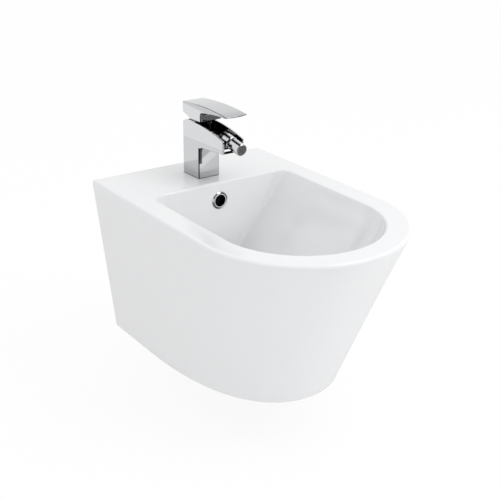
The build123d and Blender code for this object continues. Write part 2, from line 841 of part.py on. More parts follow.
def cartridge_seal(x, back):
    """One rubber ring round an inlet port under the base."""
    low = tap_point(x, TAP_MIDDLE - back, CARTRIDGE_SEAT)
    high = tap_point(x, TAP_MIDDLE - back, CARTRIDGE_SEAT + SEAL_HEIGHT)
    return tube(SEAL_RADIUS, SEAL_RADIUS - SEAL_WALL, low, high)


def fixed_disc():
    """The lower ceramic disc, with three ports."""
    low = tap_point(0, TAP_MIDDLE, disc_level())
    disc = cylinder(DISC_RADIUS, low, tap_point(0, TAP_MIDDLE, slider_level()))
    return disc - port_holes(disc_level(), slider_level(), port_places())


def sliding_disc():
    """The upper ceramic disc, with a blind chamber that joins the ports."""
    low = tap_point(0, TAP_MIDDLE, slider_level())
    disc = cylinder(SLIDER_RADIUS, low, tap_point(0, TAP_MIDDLE, carrier_level()))
    roof = tap_point(0, TAP_MIDDLE, slider_level() + DISC_HEIGHT / 2)
    return disc - cylinder(SLIDER_RADIUS / 2, low, roof)


def disc_carrier():
    """The plastic carrier on the sliding disc, with the socket for the stem's ball."""
    top = tap_point(0, TAP_MIDDLE, driver_level())
    body = cylinder(CARRIER_RADIUS, tap_point(0, TAP_MIDDLE, carrier_level()), top)
    floor = tap_point(0, TAP_MIDDLE, carrier_level() + CARRIER_FLOOR)
    return body - cylinder(STEM_BALL + LOOSE, floor, top)


def cartridge_driver():
    """The rotor that the lever turns, with a slot for the stem and a bore for its pin."""
    outer = CARTRIDGE_RADIUS - CARTRIDGE_WALL - RUNNING
    low = driver_level()
    shoulder = tap_point(0, TAP_MIDDLE, low + DRIVER_HEIGHT)
    top = housing_top() + DRIVER_RISE
    body = cylinder(outer, tap_point(0, TAP_MIDDLE, low), shoulder)
    body += cylinder(DRIVER_NECK, shoulder, tap_point(0, TAP_MIDDLE, top))
    half = STEM_WIDTH / 2 + LOOSE
    reach = STEM_DEPTH / 2 + DRIVER_SLOT
    body -= block(tap_point(-half, TAP_MIDDLE + reach, low), tap_point(half, TAP_MIDDLE - reach, top))
    return body - pivot_bar(PIN_RADIUS, outer)


def pivot_bar(radius, reach):
    """A cylinder on the stem's pivot line, as long either side of the middle."""
    level = pivot_level()
    return cylinder(radius, tap_point(-reach, TAP_MIDDLE, level), tap_point(reach, TAP_MIDDLE, level))


def stem_pivot_pin():
    """The steel pin that the stem rocks on."""
    return pivot_bar(PIN_RADIUS, CARTRIDGE_RADIUS - CARTRIDGE_WALL - PIN_END)


def lever_stem():
    """The square brass stem, with its ball end below the pivot."""
    low = pivot_level() - PIN_RADIUS - STEM_BELOW_PIN
    half = STEM_WIDTH / 2
    deep = STEM_DEPTH / 2
    body = block(tap_point(-half, TAP_MIDDLE + deep, low), tap_point(half, TAP_MIDDLE - deep, STEM_TOP))
    ball = tap_point(0, TAP_MIDDLE, pivot_level() - STEM_BALL_DROP)
    body += cylinder(STEM_NECK, ball, tap_point(0, TAP_MIDDLE, low + STEM_BELOW_PIN))
    body += Plane(origin=ball) * Solid.make_sphere(STEM_BALL, angle1=-90)
    return body - pivot_bar(PIN_RADIUS + RUNNING / 2, half + PAST)


def retaining_nut():
    """The ring nut in the tower that holds the cartridge down."""
    low = tap_point(0, TAP_MIDDLE, nut_seat())
    return tube(NUT_RADIUS, NUT_BORE, low, tap_point(0, TAP_MIDDLE, nut_seat() + NUT_HEIGHT))


def dome_cover():
    """The round chrome collar on the retaining nut, under the lever."""
    low = nut_seat() + NUT_HEIGHT
    top = low + DOME_HEIGHT
    profile = [
        (DOME_OPENING, low),
        (DOME_RADIUS, low),
        (DOME_RADIUS, top - DOME_ROUNDING),
        (DOME_RADIUS - DOME_ROUNDING, top),
        (DOME_OPENING, top),
    ]
    return turned(profile, upright(TAP_MIDDLE, 0))


# Lever


def lever_side():
    """The lever's side outline: hub at the back, blade tapering forward."""
    top = [
        tap_point(0, 0, LEVER_BACK_TOP),
        tap_point(0, LEVER_CROWN_START, LEVER_BACK_TOP + LEVER_END_RISE),
        tap_point(0, LEVER_CROWN, LEVER_BACK_TOP + LEVER_CROWN_RISE),
        tap_point(0, LEVER_CROWN_END, LEVER_BACK_TOP + LEVER_END_RISE),
        tap_point(0, LEVER_LENGTH, LEVER_FRONT_TOP),
    ]
    under = [
        tap_point(0, LEVER_LENGTH, LEVER_FRONT_TOP - LEVER_TIP),
        tap_point(0, LEVER_THIN, LEVER_UNDER + LEVER_THIN_RISE),
        tap_point(0, HUB_LENGTH + HUB_THROAT, LEVER_UNDER),
    ]
    bend = HUB_THROAT * (1 - sqrt(0.5))
    throat = tap_point(0, HUB_LENGTH + bend, LEVER_UNDER - bend)
    hub_top = tap_point(0, HUB_LENGTH, LEVER_UNDER - HUB_THROAT)
    hub_front = tap_point(0, HUB_LENGTH, HUB_LOW)
    hub_level = tap_point(0, HUB_SLOPE_END + HUB_CORNER, HUB_LOW)
    hub_slope = tap_point(0, HUB_SLOPE_END, HUB_SLOPE_LOW)
    hub_back = tap_point(0, 0, HUB_BACK_LOW)
    return [
        Line(hub_back, top[0]),
        Spline(*top),
        Line(top[-1], under[0]),
        Spline(*under),
        ThreePointArc(under[-1], throat, hub_top),
        Line(hub_top, hub_front),
        Line(hub_front, hub_level),
        Line(hub_level, hub_slope),
        Line(hub_slope, hub_back),
    ]


def lever_plan():
    """The lever from above: straight sides and a gently bowed front edge."""
    low = HUB_LOW - PAST
    corner = LEVER_LENGTH - LEVER_FRONT_BOW
    back_left = tap_point(-TAP_HALF, 0, low)
    back_right = tap_point(TAP_HALF, 0, low)
    front_left = tap_point(-TAP_HALF, corner, low)
    front_right = tap_point(TAP_HALF, corner, low)
    edges = [
        Line(back_left, back_right),
        Line(back_right, front_right),
        ThreePointArc(front_right, tap_point(0, LEVER_LENGTH, low), front_left),
        Line(front_left, back_left),
    ]
    return extrude(make_face(edges), amount=LEVER_BACK_TOP, dir=(0, 0, 1))


def lever():
    """The chrome lever: blade, hollow hub and the boss that grips the stem."""
    body = side_solid(lever_side(), TAP_HALF) & lever_plan()
    body = body.fillet(TAP_EDGE, body.edges())
    low = HUB_LOW - PAST
    room = block(
        tap_point(LEVER_WALL - TAP_HALF, HUB_LENGTH - LEVER_WALL, low),
        tap_point(TAP_HALF - LEVER_WALL, LEVER_WALL, STEM_TOP + LEVER_WALL),
    )
    room -= stem_block(HUB_BOSS_WALL, STEM_TOP + LEVER_WALL)
    body -= room
    body -= stem_block(THREAD_FIT, STEM_TOP + THREAD_FIT)
    screw_end = tap_point(0, TAP_MIDDLE, GRUB_HEIGHT)
    return body - cylinder(GRUB_RADIUS + THREAD_FIT, tap_point(0, -PAST, GRUB_HEIGHT), screw_end)


def stem_block(grow, top):
    """A block round the stem's square, wider by a margin, from below the hub up to a level."""
    half = STEM_WIDTH / 2 + grow
    deep = STEM_DEPTH / 2 + grow
    low = HUB_LOW - PAST
    return block(tap_point(-half, TAP_MIDDLE + deep, low), tap_point(half, TAP_MIDDLE - deep, top))


def lever_grub_screw():
    """The screw that grips the stem, with a hexagon socket in its head."""
    tip = TAP_MIDDLE - STEM_DEPTH / 2
    head = tip - GRUB_LENGTH
    screw = cylinder(GRUB_RADIUS, tap_point(0, head, GRUB_HEIGHT), tap_point(0, tip, GRUB_HEIGHT))
    socket = extrude(RegularPolygon(GRUB_RADIUS / 2, 6, major_radius=False), GRUB_LENGTH / 2)
    return screw - Plane(origin=tap_point(0, head, GRUB_HEIGHT), z_dir=(0, -1, 0)) * socket


def lever_plug():
    """The small cap that closes the screw's hole at the back of the lever."""
    profile = [
        (0, -PLUG_LENGTH),
        (GRUB_RADIUS, -PLUG_LENGTH),
        (GRUB_RADIUS, 0),
        (PLUG_RADIUS, 0),
        (PLUG_RADIUS, PLUG_EDGE),
        (PLUG_RADIUS - PLUG_SLOPE, PLUG_CROWN),
        (0, PLUG_CROWN),
    ]
    return turned(profile, Plane(origin=tap_point(0, 0, GRUB_HEIGHT), z_dir=(0, 1, 0)))


# Swivel nozzle


def nozzle_ball():
    """The brass ball, its neck and the stub inside the aerator's housing."""
    ball = nozzle_place(0) * Solid.make_sphere(BALL_RADIUS, angle1=-90)
    stub = SHOULDER + TUBE_FLOOR
    neck = nozzle_place(0) * Solid.make_cylinder(NECK_RADIUS, stub)
    way = Solid.make_cylinder(NOZZLE_WATERWAY, BALL_RADIUS + stub + 2 * PAST)
    return ball + neck - nozzle_place(-BALL_RADIUS - PAST) * way


def aerator_housing():
    """The chrome tube on the ball's neck."""
    inner = TUBE_RADIUS - TUBE_WALL
    neck = NECK_RADIUS + THREAD_FIT
    floor = SHOULDER + TUBE_FLOOR
    profile = [
        (neck, SHOULDER),
        (TUBE_RADIUS - TUBE_SHOULDER_EDGE, SHOULDER),
        (TUBE_RADIUS, SHOULDER + TUBE_SHOULDER_EDGE),
        (TUBE_RADIUS, NOZZLE_END - TUBE_END_EDGE),
        (TUBE_RADIUS - TUBE_END_EDGE, NOZZLE_END),
        (inner, NOZZLE_END),
        (inner, floor),
        (neck, floor),
    ]
    return turned(profile, nozzle_place(0))


def aerator_insert():
    """The plastic insert with a ring of water holes in its face."""
    radius = TUBE_RADIUS - TUBE_WALL - SNUG
    end = NOZZLE_END - AERATOR_INSET
    start = end - AERATOR_LENGTH
    body = Solid.make_cylinder(radius, AERATOR_LENGTH)
    depth = AERATOR_LENGTH - AERATOR_FACE
    body -= Solid.make_cylinder(radius - AERATOR_RIM, depth)
    for ring, count in AERATOR_RINGS:
        for turn in range(count):
            angle = 2 * pi * turn / count
            hole = Solid.make_cylinder(AERATOR_HOLE, AERATOR_FACE)
            body -= Pos(ring * cos(angle), ring * sin(angle), depth) * hole
    return nozzle_place(start) * body


def aerator_washer():
    """The rubber washer that the insert seals on."""
    start = SHOULDER + TUBE_FLOOR
    radius = TUBE_RADIUS - TUBE_WALL - SNUG
    end = NOZZLE_END - AERATOR_INSET - AERATOR_LENGTH
    step = end - AERATOR_WASHER
    sleeve = radius - AERATOR_SLEEVE
    profile = [
        (sleeve, start),
        (radius, start),
        (radius, end),
        (radius - AERATOR_WASHER_WIDTH, end),
        (radius - AERATOR_WASHER_WIDTH, step),
        (sleeve, step),
    ]
    return turned(profile, nozzle_place(0))


def ball_seat_ring():
    """The plastic ring round the ball's widest part, round inside and out."""
    outer = BALL_RADIUS + RUNNING + SEAT_WALL
    ring = Solid.make_sphere(outer, angle1=-90) - Solid.make_sphere(BALL_RADIUS + RUNNING, angle1=-90)
    slab = Pos(0, 0, -SEAT_HALF) * Solid.make_cylinder(outer + PAST, 2 * SEAT_HALF)
    return nozzle_place(0) * (ring & slab)


def ball_seal():
    """The rubber ring behind the ball."""
    outer = BALL_RADIUS + SEAT_WALL
    back = -SOCKET_END
    front = -SEAL_FRONT
    reach = BALL_RADIUS + LOOSE
    inner = sqrt(reach**2 - front**2)
    wide = sqrt(reach**2 - back**2)
    return turned([(wide, back), (outer, back), (outer, front), (inner, front)], nozzle_place(0))


def socket_collar():
    """The chrome cap ring that screws over the socket and keeps the ball in."""
    seat = BALL_RADIUS + RUNNING + SEAT_WALL + RUNNING
    thread = SOCKET_RADIUS + THREAD_FIT
    step = -SOCKET_END
    reach = BALL_RADIUS + LOOSE
    wide = sqrt(reach**2 - COLLAR_CLOSES**2)
    mouth = sqrt(reach**2 - COLLAR_FRONT**2)
    back = step - COLLAR_BACK
    edge = COLLAR_RADIUS - COLLAR_EDGE
    half_way = (COLLAR_FRONT + COLLAR_CLOSES) / 2
    bulge = sqrt(reach**2 - half_way**2)
    outline = [
        Line((thread, 0, back), (COLLAR_RADIUS, 0, back)),
        Line((COLLAR_RADIUS, 0, back), (COLLAR_RADIUS, 0, COLLAR_FRONT - COLLAR_EDGE)),
        Line((COLLAR_RADIUS, 0, COLLAR_FRONT - COLLAR_EDGE), (edge, 0, COLLAR_FRONT)),
        Line((edge, 0, COLLAR_FRONT), (mouth, 0, COLLAR_FRONT)),
        ThreePointArc((mouth, 0, COLLAR_FRONT), (bulge, 0, half_way), (wide, 0, COLLAR_CLOSES)),
        Line((wide, 0, COLLAR_CLOSES), (seat, 0, COLLAR_CLOSES)),
        Line((seat, 0, COLLAR_CLOSES), (seat, 0, step)),
        Line((seat, 0, step), (thread, 0, step)),
        Line((thread, 0, step), (thread, 0, back)),
    ]
    return nozzle_place(0) * revolve(make_face(outline), Axis.Z)


# Waste


def drain_place(z):
    """A plane on the drain's axis at one height, with Z up."""
    return Plane(origin=(0, -DRAIN_FORWARD, z), z_dir=(0, 0, 1))


def flange_under():
    """The waste flange's lower face: the recess's floor and the upper seal on it."""
    return FLOOR_Z - FLANGE_RECESS + UPPER_SEAL_THICKNESS


def backnut_level():
    """The backnut's lower face."""
    return BOSS_Z - LOWER_SEAL_THICKNESS - BACKNUT_HEIGHT


def tail_end():
    """The tail's lower end."""
    return backnut_level() - TAIL_BELOW_NUT


def waste_body():
    """The chrome brass waste: flange, slotted tail and the crossbar for the push mechanism."""
    flange = FLANGE_DIAMETER / 2
    under = flange_under()
    top = under + FLANGE_THICKNESS
    bore = TAIL_RADIUS - TAIL_WALL
    end = tail_end()
    groove = backnut_level()
    relief = TAIL_RADIUS - TAIL_GROOVE_DEPTH
    profile = [
        (bore, end),
        (TAIL_RADIUS, end),
        (TAIL_RADIUS, groove - TAIL_GROOVE),
        (relief, groove - TAIL_GROOVE),
        (relief, groove),
        (TAIL_RADIUS, groove),
        (TAIL_RADIUS, under),
        (flange, under),
        (flange, under + FLANGE_EDGE),
        (flange - FLANGE_SLOPE, top),
        (bore + FLANGE_SLOPE, top),
        (bore, top - FLANGE_SLOPE),
    ]
    body = turned(profile, drain_place(0))
    bar = under - CROSSBAR_DROP
    half = CROSSBAR_WIDTH / 2
    reach = TAIL_RADIUS - TAIL_WALL / 2
    across = block((-half, -reach, bar), (half, reach, bar + CROSSBAR_HEIGHT))
    across += block((-reach, -half, bar), (reach, half, bar + CROSSBAR_HEIGHT))
    bar_top = bar + CROSSBAR_HEIGHT
    across += cylinder(CLICK_RADIUS + CLICK_BOSS, (0, 0, bar), (0, 0, bar_top))
    across -= cylinder(CLICK_RADIUS + THREAD_FIT, (0, 0, bar - PAST), (0, 0, bar_top + PAST))
    body += Pos(0, -DRAIN_FORWARD, 0) * across
    slot_low = BOSS_Z + CHANNEL_BELOW_SEAL
    half = WASTE_SLOT_WIDTH / 2
    span = TAIL_RADIUS + PAST
    inside = bore - TAIL_WALL
    slot = block((-half, -span, slot_low), (half, -inside, slot_low + WASTE_SLOT_HEIGHT))
    slot += block((-half, inside, slot_low), (half, span, slot_low + WASTE_SLOT_HEIGHT))
    return body - Pos(0, -DRAIN_FORWARD, 0) * slot


def waste_upper_seal():
    """The rubber ring under the flange."""
    low = FLOOR_Z - FLANGE_RECESS
    return drain_place(low) * (
        Solid.make_cylinder(FLANGE_DIAMETER / 2 - UPPER_SEAL_INSET, UPPER_SEAL_THICKNESS)
        - Solid.make_cylinder(TAIL_RADIUS + SNUG, UPPER_SEAL_THICKNESS)
    )


def waste_lower_seal():
    """The thick rubber ring under the drain boss."""
    low = BOSS_Z - LOWER_SEAL_THICKNESS
    return drain_place(low) * (
        Solid.make_cylinder(BACKNUT_RADIUS, LOWER_SEAL_THICKNESS)
        - Solid.make_cylinder(TAIL_RADIUS + SNUG, LOWER_SEAL_THICKNESS)
    )


def waste_backnut():
    """The backnut with flats, threaded on the tail."""
    nut = extrude(RegularPolygon(BACKNUT_RADIUS, BACKNUT_SIDES, major_radius=False), BACKNUT_HEIGHT)
    nut -= Solid.make_cylinder(TAIL_RADIUS + THREAD_FIT, BACKNUT_HEIGHT)
    return drain_place(backnut_level()) * nut


def crossbar_top():
    """The crossbar's upper face."""
    return flange_under() - CROSSBAR_DROP + CROSSBAR_HEIGHT


def plug_under():
    """The open plug's lower face."""
    return flange_under() + FLANGE_THICKNESS + PLUG_LIFT


def click_housing():
    """The push mechanism's barrel, screwed into the crossbar, closed below."""
    low = crossbar_top() - CROSSBAR_HEIGHT - CLICK_BELOW
    top = crossbar_top() + CLICK_ABOVE
    inner = CLICK_RADIUS - CLICK_WALL
    guide = PLUG_STEM_RADIUS + RUNNING
    profile = [
        (0, low),
        (CLICK_RADIUS, low),
        (CLICK_RADIUS, top),
        (guide, top),
        (guide, top - CLICK_TOP),
        (inner, top - CLICK_TOP),
        (inner, low + CLICK_FLOOR),
        (0, low + CLICK_FLOOR),
    ]
    return turned(profile, drain_place(0))


def spring_foot():
    """The spring's lower end, on the barrel's floor."""
    return crossbar_top() - CROSSBAR_HEIGHT - CLICK_BELOW + CLICK_FLOOR


def plug_stem_foot():
    """The open plug stem's lower end, above the barrel's floor by its travel and more."""
    return spring_foot() + PLUG_TRAVEL + PLUG_STEM_SPARE


def waste_plug_stem():
    """The stem under the plug, with a collar inside the barrel that the spring pushes."""
    foot = plug_stem_foot()
    stem = Solid.make_cylinder(PLUG_STEM_RADIUS, plug_under() - foot)
    stem += Solid.make_cylinder(CLICK_RADIUS - CLICK_WALL - RUNNING, PLUG_STEM_COLLAR)
    return drain_place(foot) * stem


def waste_spring():
    """The coil spring under the stem's collar."""
    radius = CLICK_RADIUS - CLICK_WALL - LOOSE - SPRING_WIRE
    height = plug_stem_foot() - spring_foot() - 2 * SPRING_WIRE
    path = Helix(pitch=height / SPRING_TURNS, height=height, radius=radius)
    start = path @ 0
    wire = Plane(origin=start, z_dir=path % 0) * Circle(SPRING_WIRE)
    return drain_place(spring_foot() + SPRING_WIRE) * sweep(wire, path)


def waste_plug_cap():
    """The chrome plug: a low crown with a rounded edge, bored for the stem."""
    under = plug_under()
    edge = PLUG_CAP_EDGE
    top = edge + PLUG_CAP_CROWN
    crown = (PLUG_CAP_RADIUS**2 + PLUG_CAP_CROWN**2) / (2 * PLUG_CAP_CROWN)
    across = PLUG_CAP_RADIUS / 2
    sag = crown - sqrt(crown**2 - across**2)
    foot = PLUG_CAP_RADIUS - PLUG_CAP_CHAMFER
    outline = [
        Line((0, 0, 0), (foot, 0, 0)),
        Line((foot, 0, 0), (PLUG_CAP_RADIUS, 0, PLUG_CAP_CHAMFER)),
        Line((PLUG_CAP_RADIUS, 0, PLUG_CAP_CHAMFER), (PLUG_CAP_RADIUS, 0, edge)),
        ThreePointArc((PLUG_CAP_RADIUS, 0, edge), (across, 0, top - sag), (0, 0, top)),
        Line((0, 0, top), (0, 0, 0)),
    ]
    return drain_place(under) * revolve(make_face(outline), Axis.Z)


def waste_plug_seal():
    """The rubber ring under the plug, round its stem."""
    low = plug_under() - PLUG_SEAL_THICKNESS
    return drain_place(low) * (
        Solid.make_cylinder(PLUG_SEAL_RADIUS, PLUG_SEAL_THICKNESS)
        - Solid.make_cylinder(PLUG_STEM_RADIUS + SNUG, PLUG_SEAL_THICKNESS)
    )


def main():
    """Write one file for each piece or group of like pieces."""
    _, gasket, plate, _, _ = clamp_levels()
    nodes = ceramic_castings() | {
        "overflow_ring": overflow_ring(),
        "wall_sleeves": Compound([wall_sleeve(x) for x in fixing_places()]),
        "wall_washers": Compound([wall_washer(x) for x in fixing_places()]),
        "wall_nuts": Compound([wall_nut(x) for x in fixing_places()]),
        "tap_body": tap_body(),
        "base_gasket": base_gasket(),
        "fixing_stud": fixing_stud(),
        "clamp_gasket": horseshoe(DECK_UNDER, gasket),
        "clamp_plate": horseshoe(gasket, plate),
        "clamp_nut": clamp_nut(),
        "cartridge_housing": cartridge_housing(),
        "cartridge_base": cartridge_base(),
        "cartridge_seals": Compound([cartridge_seal(*place) for place in port_places()[:2]]),
        "fixed_disc": fixed_disc(),
        "sliding_disc": sliding_disc(),
        "disc_carrier": disc_carrier(),
        "cartridge_driver": cartridge_driver(),
        "stem_pivot_pin": stem_pivot_pin(),
        "lever_stem": lever_stem(),
        "retaining_nut": retaining_nut(),
        "dome_cover": dome_cover(),
        "lever": lever(),
        "lever_grub_screw": lever_grub_screw(),
        "lever_plug": lever_plug(),
        "nozzle_ball": nozzle_ball(),
        "aerator_housing": aerator_housing(),
        "aerator_insert": aerator_insert(),
        "aerator_washer": aerator_washer(),
        "ball_seat_ring": ball_seat_ring(),
        "ball_seal": ball_seal(),
        "socket_collar": socket_collar(),
        "waste_body": waste_body(),
        "waste_upper_seal": waste_upper_seal(),
        "waste_lower_seal": waste_lower_seal(),
        "waste_backnut": waste_backnut(),
        "click_housing": click_housing(),
        "waste_plug_stem": waste_plug_stem(),
        "waste_spring": waste_spring(),
        "waste_plug_cap": waste_plug_cap(),
        "waste_plug_seal": waste_plug_seal(),
    }
    for name, shape in nodes.items():
        export_step(shape, f"parts/{name}.step")


main()
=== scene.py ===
"""Wall-hung bidet: the glazed body, chrome tap, overflow ring and waste, and the studio round them.

Metres, in the frame's own axes: +X to the right seen from the front, +Y into the wall, +Z up.
"""

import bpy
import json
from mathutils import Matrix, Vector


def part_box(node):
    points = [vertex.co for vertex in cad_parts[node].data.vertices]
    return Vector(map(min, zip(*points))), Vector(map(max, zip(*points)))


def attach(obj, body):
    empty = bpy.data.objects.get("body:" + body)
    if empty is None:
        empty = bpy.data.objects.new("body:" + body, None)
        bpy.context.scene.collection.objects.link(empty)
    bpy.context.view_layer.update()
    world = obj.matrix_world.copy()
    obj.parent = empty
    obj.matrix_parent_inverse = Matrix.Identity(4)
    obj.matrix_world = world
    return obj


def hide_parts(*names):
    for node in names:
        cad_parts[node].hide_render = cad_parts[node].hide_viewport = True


bl_info = {
    "name": "Wall-hung bidet",
    "version": (1, 0, 0),
    "blender": (4, 5, 0),
    "location": "View3D > Sidebar > Bidet",
    "description": "Glazed body, tap, waste and studio for a wall-hung bidet",
    "category": "Object",
}

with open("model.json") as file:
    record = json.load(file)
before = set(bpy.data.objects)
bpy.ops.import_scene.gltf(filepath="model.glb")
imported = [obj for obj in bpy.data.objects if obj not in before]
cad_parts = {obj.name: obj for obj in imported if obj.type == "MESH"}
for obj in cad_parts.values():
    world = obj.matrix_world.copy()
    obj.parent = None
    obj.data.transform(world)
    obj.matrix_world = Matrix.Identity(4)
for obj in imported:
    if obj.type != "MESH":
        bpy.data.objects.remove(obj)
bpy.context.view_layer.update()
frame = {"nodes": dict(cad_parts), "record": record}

import json
from math import cos, radians, sin, sqrt

import bmesh
import bpy
import numpy as np
from bpy.props import FloatProperty, FloatVectorProperty, PointerProperty
from mathutils import Matrix, Vector

MM = 0.001
BODY_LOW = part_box("ceramic_shell")[0]
BODY_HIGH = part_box("ceramic_rim")[1]
SEAL_LOW, SEAL_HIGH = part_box("waste_upper_seal")
BOSS_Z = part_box("waste_lower_seal")[1].z
DRAIN_Y = (SEAL_LOW.y + SEAL_HIGH.y) / 2
GASKET_LOW, GASKET_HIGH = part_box("base_gasket")
TAP_Y = (GASKET_LOW.y + GASKET_HIGH.y) / 2
RING_LOW, RING_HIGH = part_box("overflow_ring")
OVERFLOW_Z = (RING_LOW.z + RING_HIGH.z) / 2
TAP_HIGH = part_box("tap_body")[1]
LEVER_LOW, LEVER_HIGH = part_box("lever")
SLEEVE_LOW, SLEEVE_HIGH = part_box("wall_sleeves")
SLEEVE_FLANGE = SLEEVE_HIGH.z - SLEEVE_LOW.z
FIXING_X = (SLEEVE_HIGH.x - SLEEVE_LOW.x - SLEEVE_FLANGE) / 2


# Sizes and colours


def size(name, default, description):
    """A length in metres that the panel shows."""
    return FloatProperty(name=name, default=default, description=description, unit="LENGTH", precision=4)


def tint(name, default, description):
    """A colour that the panel shows."""
    return FloatVectorProperty(name=name, default=default, size=3, subtype="COLOR", description=description)


class BodySizes(bpy.types.PropertyGroup):
    """Sizes of the glazed body."""

    width: size("Width", 0.360, "Width across the sharp edges of the rim")
    side: size("Straight side", 0.350, "Length of the rim's straight sides from the wall")
    foot_width: size("Foot width", 0.293, "Width of the foot")
    foot_length: size("Foot length", 0.404, "Length of the foot from the wall")
    foot_side: size("Foot side", 0.127, "Length of the foot's straight sides")
    rounding: size("Edge rounding", 0.005, "Radius of the rim's outer edge and of the foot's")
    mouth_rounding: size("Mouth rounding", 0.004, "Radius of the bowl's top edge")
    floor_rounding: size("Floor rounding", 0.003, "Radius round the bowl's floor")
    rim: size("Rim width", 0.041, "Width of the flat rim")
    bowl_back: size("Bowl back", 0.131, "Distance of the bowl from the wall")
    bowl_depth: size("Bowl depth", 0.140, "Depth of the bowl")
    bowl_corner: size("Bowl corner", 0.025, "Radius of the bowl's back corners at the rim")
    floor_corner: size("Floor corner", 0.006, "Radius of the bowl's back corners at the floor")
    floor_half: size("Floor half width", 0.034, "Half the width of the bowl's floor")
    wall: size("Outer wall", 0.0105, "Thickness of the outer wall")
    back_wall: size("Back wall", 0.015, "Thickness of the wall behind")
    bowl_wall: size("Bowl wall", 0.013, "Thickness of the bowl's wall")
    floor_wall: size("Floor wall", 0.012, "Thickness of the bowl's floor")
    deck: size("Deck thickness", 0.015, "Thickness of the tap deck")
    lip_height: size("Lip height", 0.014, "Height of the lip inside the foot")
    lip_width: size("Lip width", 0.022, "Width of the lip inside the foot")
    boss: size("Drain boss radius", 0.037, "Radius of the thick ring round the drain")
    drain: size("Drain hole radius", 0.023, "Radius of the drain hole")
    recess: size("Recess radius", 0.0318, "Radius of the recess for the waste's flange")
    recess_depth: size("Recess depth", 0.0024, "Depth of the recess for the waste's flange")


class StudioSettings(bpy.types.PropertyGroup):
    """Colours of the object's finishes and strengths of the lights."""

    glaze: tint("Glaze", (0.775, 0.779, 0.788), "Colour of the white glaze")
    chrome: tint("Chrome", (0.655, 0.665, 0.675), "Colour of the chrome plate")
    plated: tint("Plated brass", (0.58, 0.585, 0.59), "Colour of the plated ball of the nozzle")
    world: FloatProperty(
        name="Soft light", default=0.95, min=0, description="Strength of the light all round",
    )
    key: FloatProperty(
        name="Lamp", default=22.0, min=0, unit="POWER", description="Power of the lamp above the front",
    )


# Shader expressions


class Value:
    """A socket on which Python's arithmetic adds Math nodes."""

    def __init__(self, finish, socket):
        self.finish = finish
        self.socket = socket

    def math(self, operation, *values):
        return self.finish.node("ShaderNodeMath", {"operation": operation}, *values)

    def __add__(self, other):
        return self.math("ADD", self, other)

    def __radd__(self, other):
        return self.math("ADD", other, self)

    def __sub__(self, other):
        return self.math("SUBTRACT", self, other)

    def __rsub__(self, other):
        return self.math("SUBTRACT", other, self)

    def __mul__(self, other):
        return self.math("MULTIPLY", self, other)

    def __rmul__(self, other):
        return self.math("MULTIPLY", other, self)

    def __truediv__(self, other):
        return self.math("DIVIDE", self, other)

    def __rtruediv__(self, other):
        return self.math("DIVIDE", other, self)

    def __pow__(self, other):
        return self.math("POWER", self, other)

    def absolute(self):
        return self.math("ABSOLUTE", self)

    def larger(self, other):
        return self.math("MAXIMUM", self, other)

    def __gt__(self, other):
        return self.math("GREATER_THAN", self, other)

    def __lt__(self, other):
        return self.math("LESS_THAN", self, other)


class Finish:
    """A material or world whose nodes are added by one method."""

    def __init__(self, tree):
        self.tree = tree

    def node(self, kind, settings=None, *values, **named):
        """Adds a node, sets its settings first, then its sockets, and returns its first output."""
        made = self.tree.nodes.new(kind)
        for setting, value in (settings or {}).items():
            if setting == "stops":
                self.set_stops(made, value)
            else:
                setattr(made, setting, value)
        sockets = list(enumerate(values)) + [(key.replace("_", " "), value) for key, value in named.items()]
        for key, value in sockets:
            self.join(value, made.inputs[key])
        made_outputs = [socket for socket in made.outputs if socket.enabled]
        return Value(self, made_outputs[0])

    def set_stops(self, ramp, stops):
        """Gives a colour ramp its stops."""
        elements = ramp.color_ramp.elements
        while len(elements) < len(stops):
            elements.new(1.0)
        for element, (place, shade) in zip(elements, stops):
            element.position = place
            element.color = (shade, shade, shade, 1.0)

    def join(self, value, socket):
        """Links a value to a socket, or sets the socket to a number or colour."""
        if isinstance(value, Value):
            self.tree.links.new(value.socket, socket)
        else:
            socket.default_value = value


def material(name, fixed):
    """A new material: its Finish and its shader with the fixed sockets set."""
    made = bpy.data.materials.new(name)
    made.use_nodes = True
    shader = made.node_tree.nodes["Principled BSDF"]
    for socket, value in fixed.items():
        shader.inputs[socket].default_value = value
    return made, Finish(made.node_tree), shader


def colour(rgb):
    """A colour with full opacity."""
    return (*rgb, 1.0)


def noise(finish, place, scale, detail=2.0, roughness=0.5):
    """Smooth noise from 0 to 1 with features of about 1/scale metres."""
    sockets = {"Vector": place, "Scale": scale, "Detail": detail, "Roughness": roughness}
    return finish.node("ShaderNodeTexNoise", {}, **sockets)


def bump(finish, height, strength, distance):
    """A normal tilted by a height."""
    return finish.node("ShaderNodeBump", {}, Strength=strength, Distance=distance, Height=height)


def blend(finish, mask, first, second):
    """A colour from the first to the second as the mask rises from 0 to 1."""
    made = finish.tree.nodes.new("ShaderNodeMix")
    made.data_type = "RGBA"
    finish.join(mask, made.inputs["Factor"])
    for key, value in (("A", first), ("B", second)):
        socket = next(item for item in made.inputs if item.name == key and item.type == "RGBA")
        finish.join(value, socket)
    return Value(finish, next(item for item in made.outputs if item.type == "RGBA"))


def positions(finish):
    """The piece's own coordinates: as one vector, and as its three numbers."""
    coordinates = finish.tree.nodes.new("ShaderNodeTexCoord")
    place = Value(finish, coordinates.outputs["Object"])
    parts = finish.tree.nodes.new("ShaderNodeSeparateXYZ")
    finish.join(place, parts.inputs["Vector"])
    return place, [Value(finish, socket) for socket in parts.outputs]


BARE_FROM = -0.6 * MM
BARE_FOOT = 0.4 * MM
BARE_FOOT_DEPTH = 36.0 * MM
# Where the painted shade inside the overflow channel goes
CHANNEL_SIDE = 18.5 * MM
CHANNEL_FRONT = -118.5 * MM
CHANNEL_REAR = -97.5 * MM
CHANNEL_TOP = 69.0 * MM
CLAY = ((0.70, 0.67, 0.62, 1.0), (0.80, 0.78, 0.74, 1.0))
SHADOW = (0.02, 0.02, 0.02, 1.0)


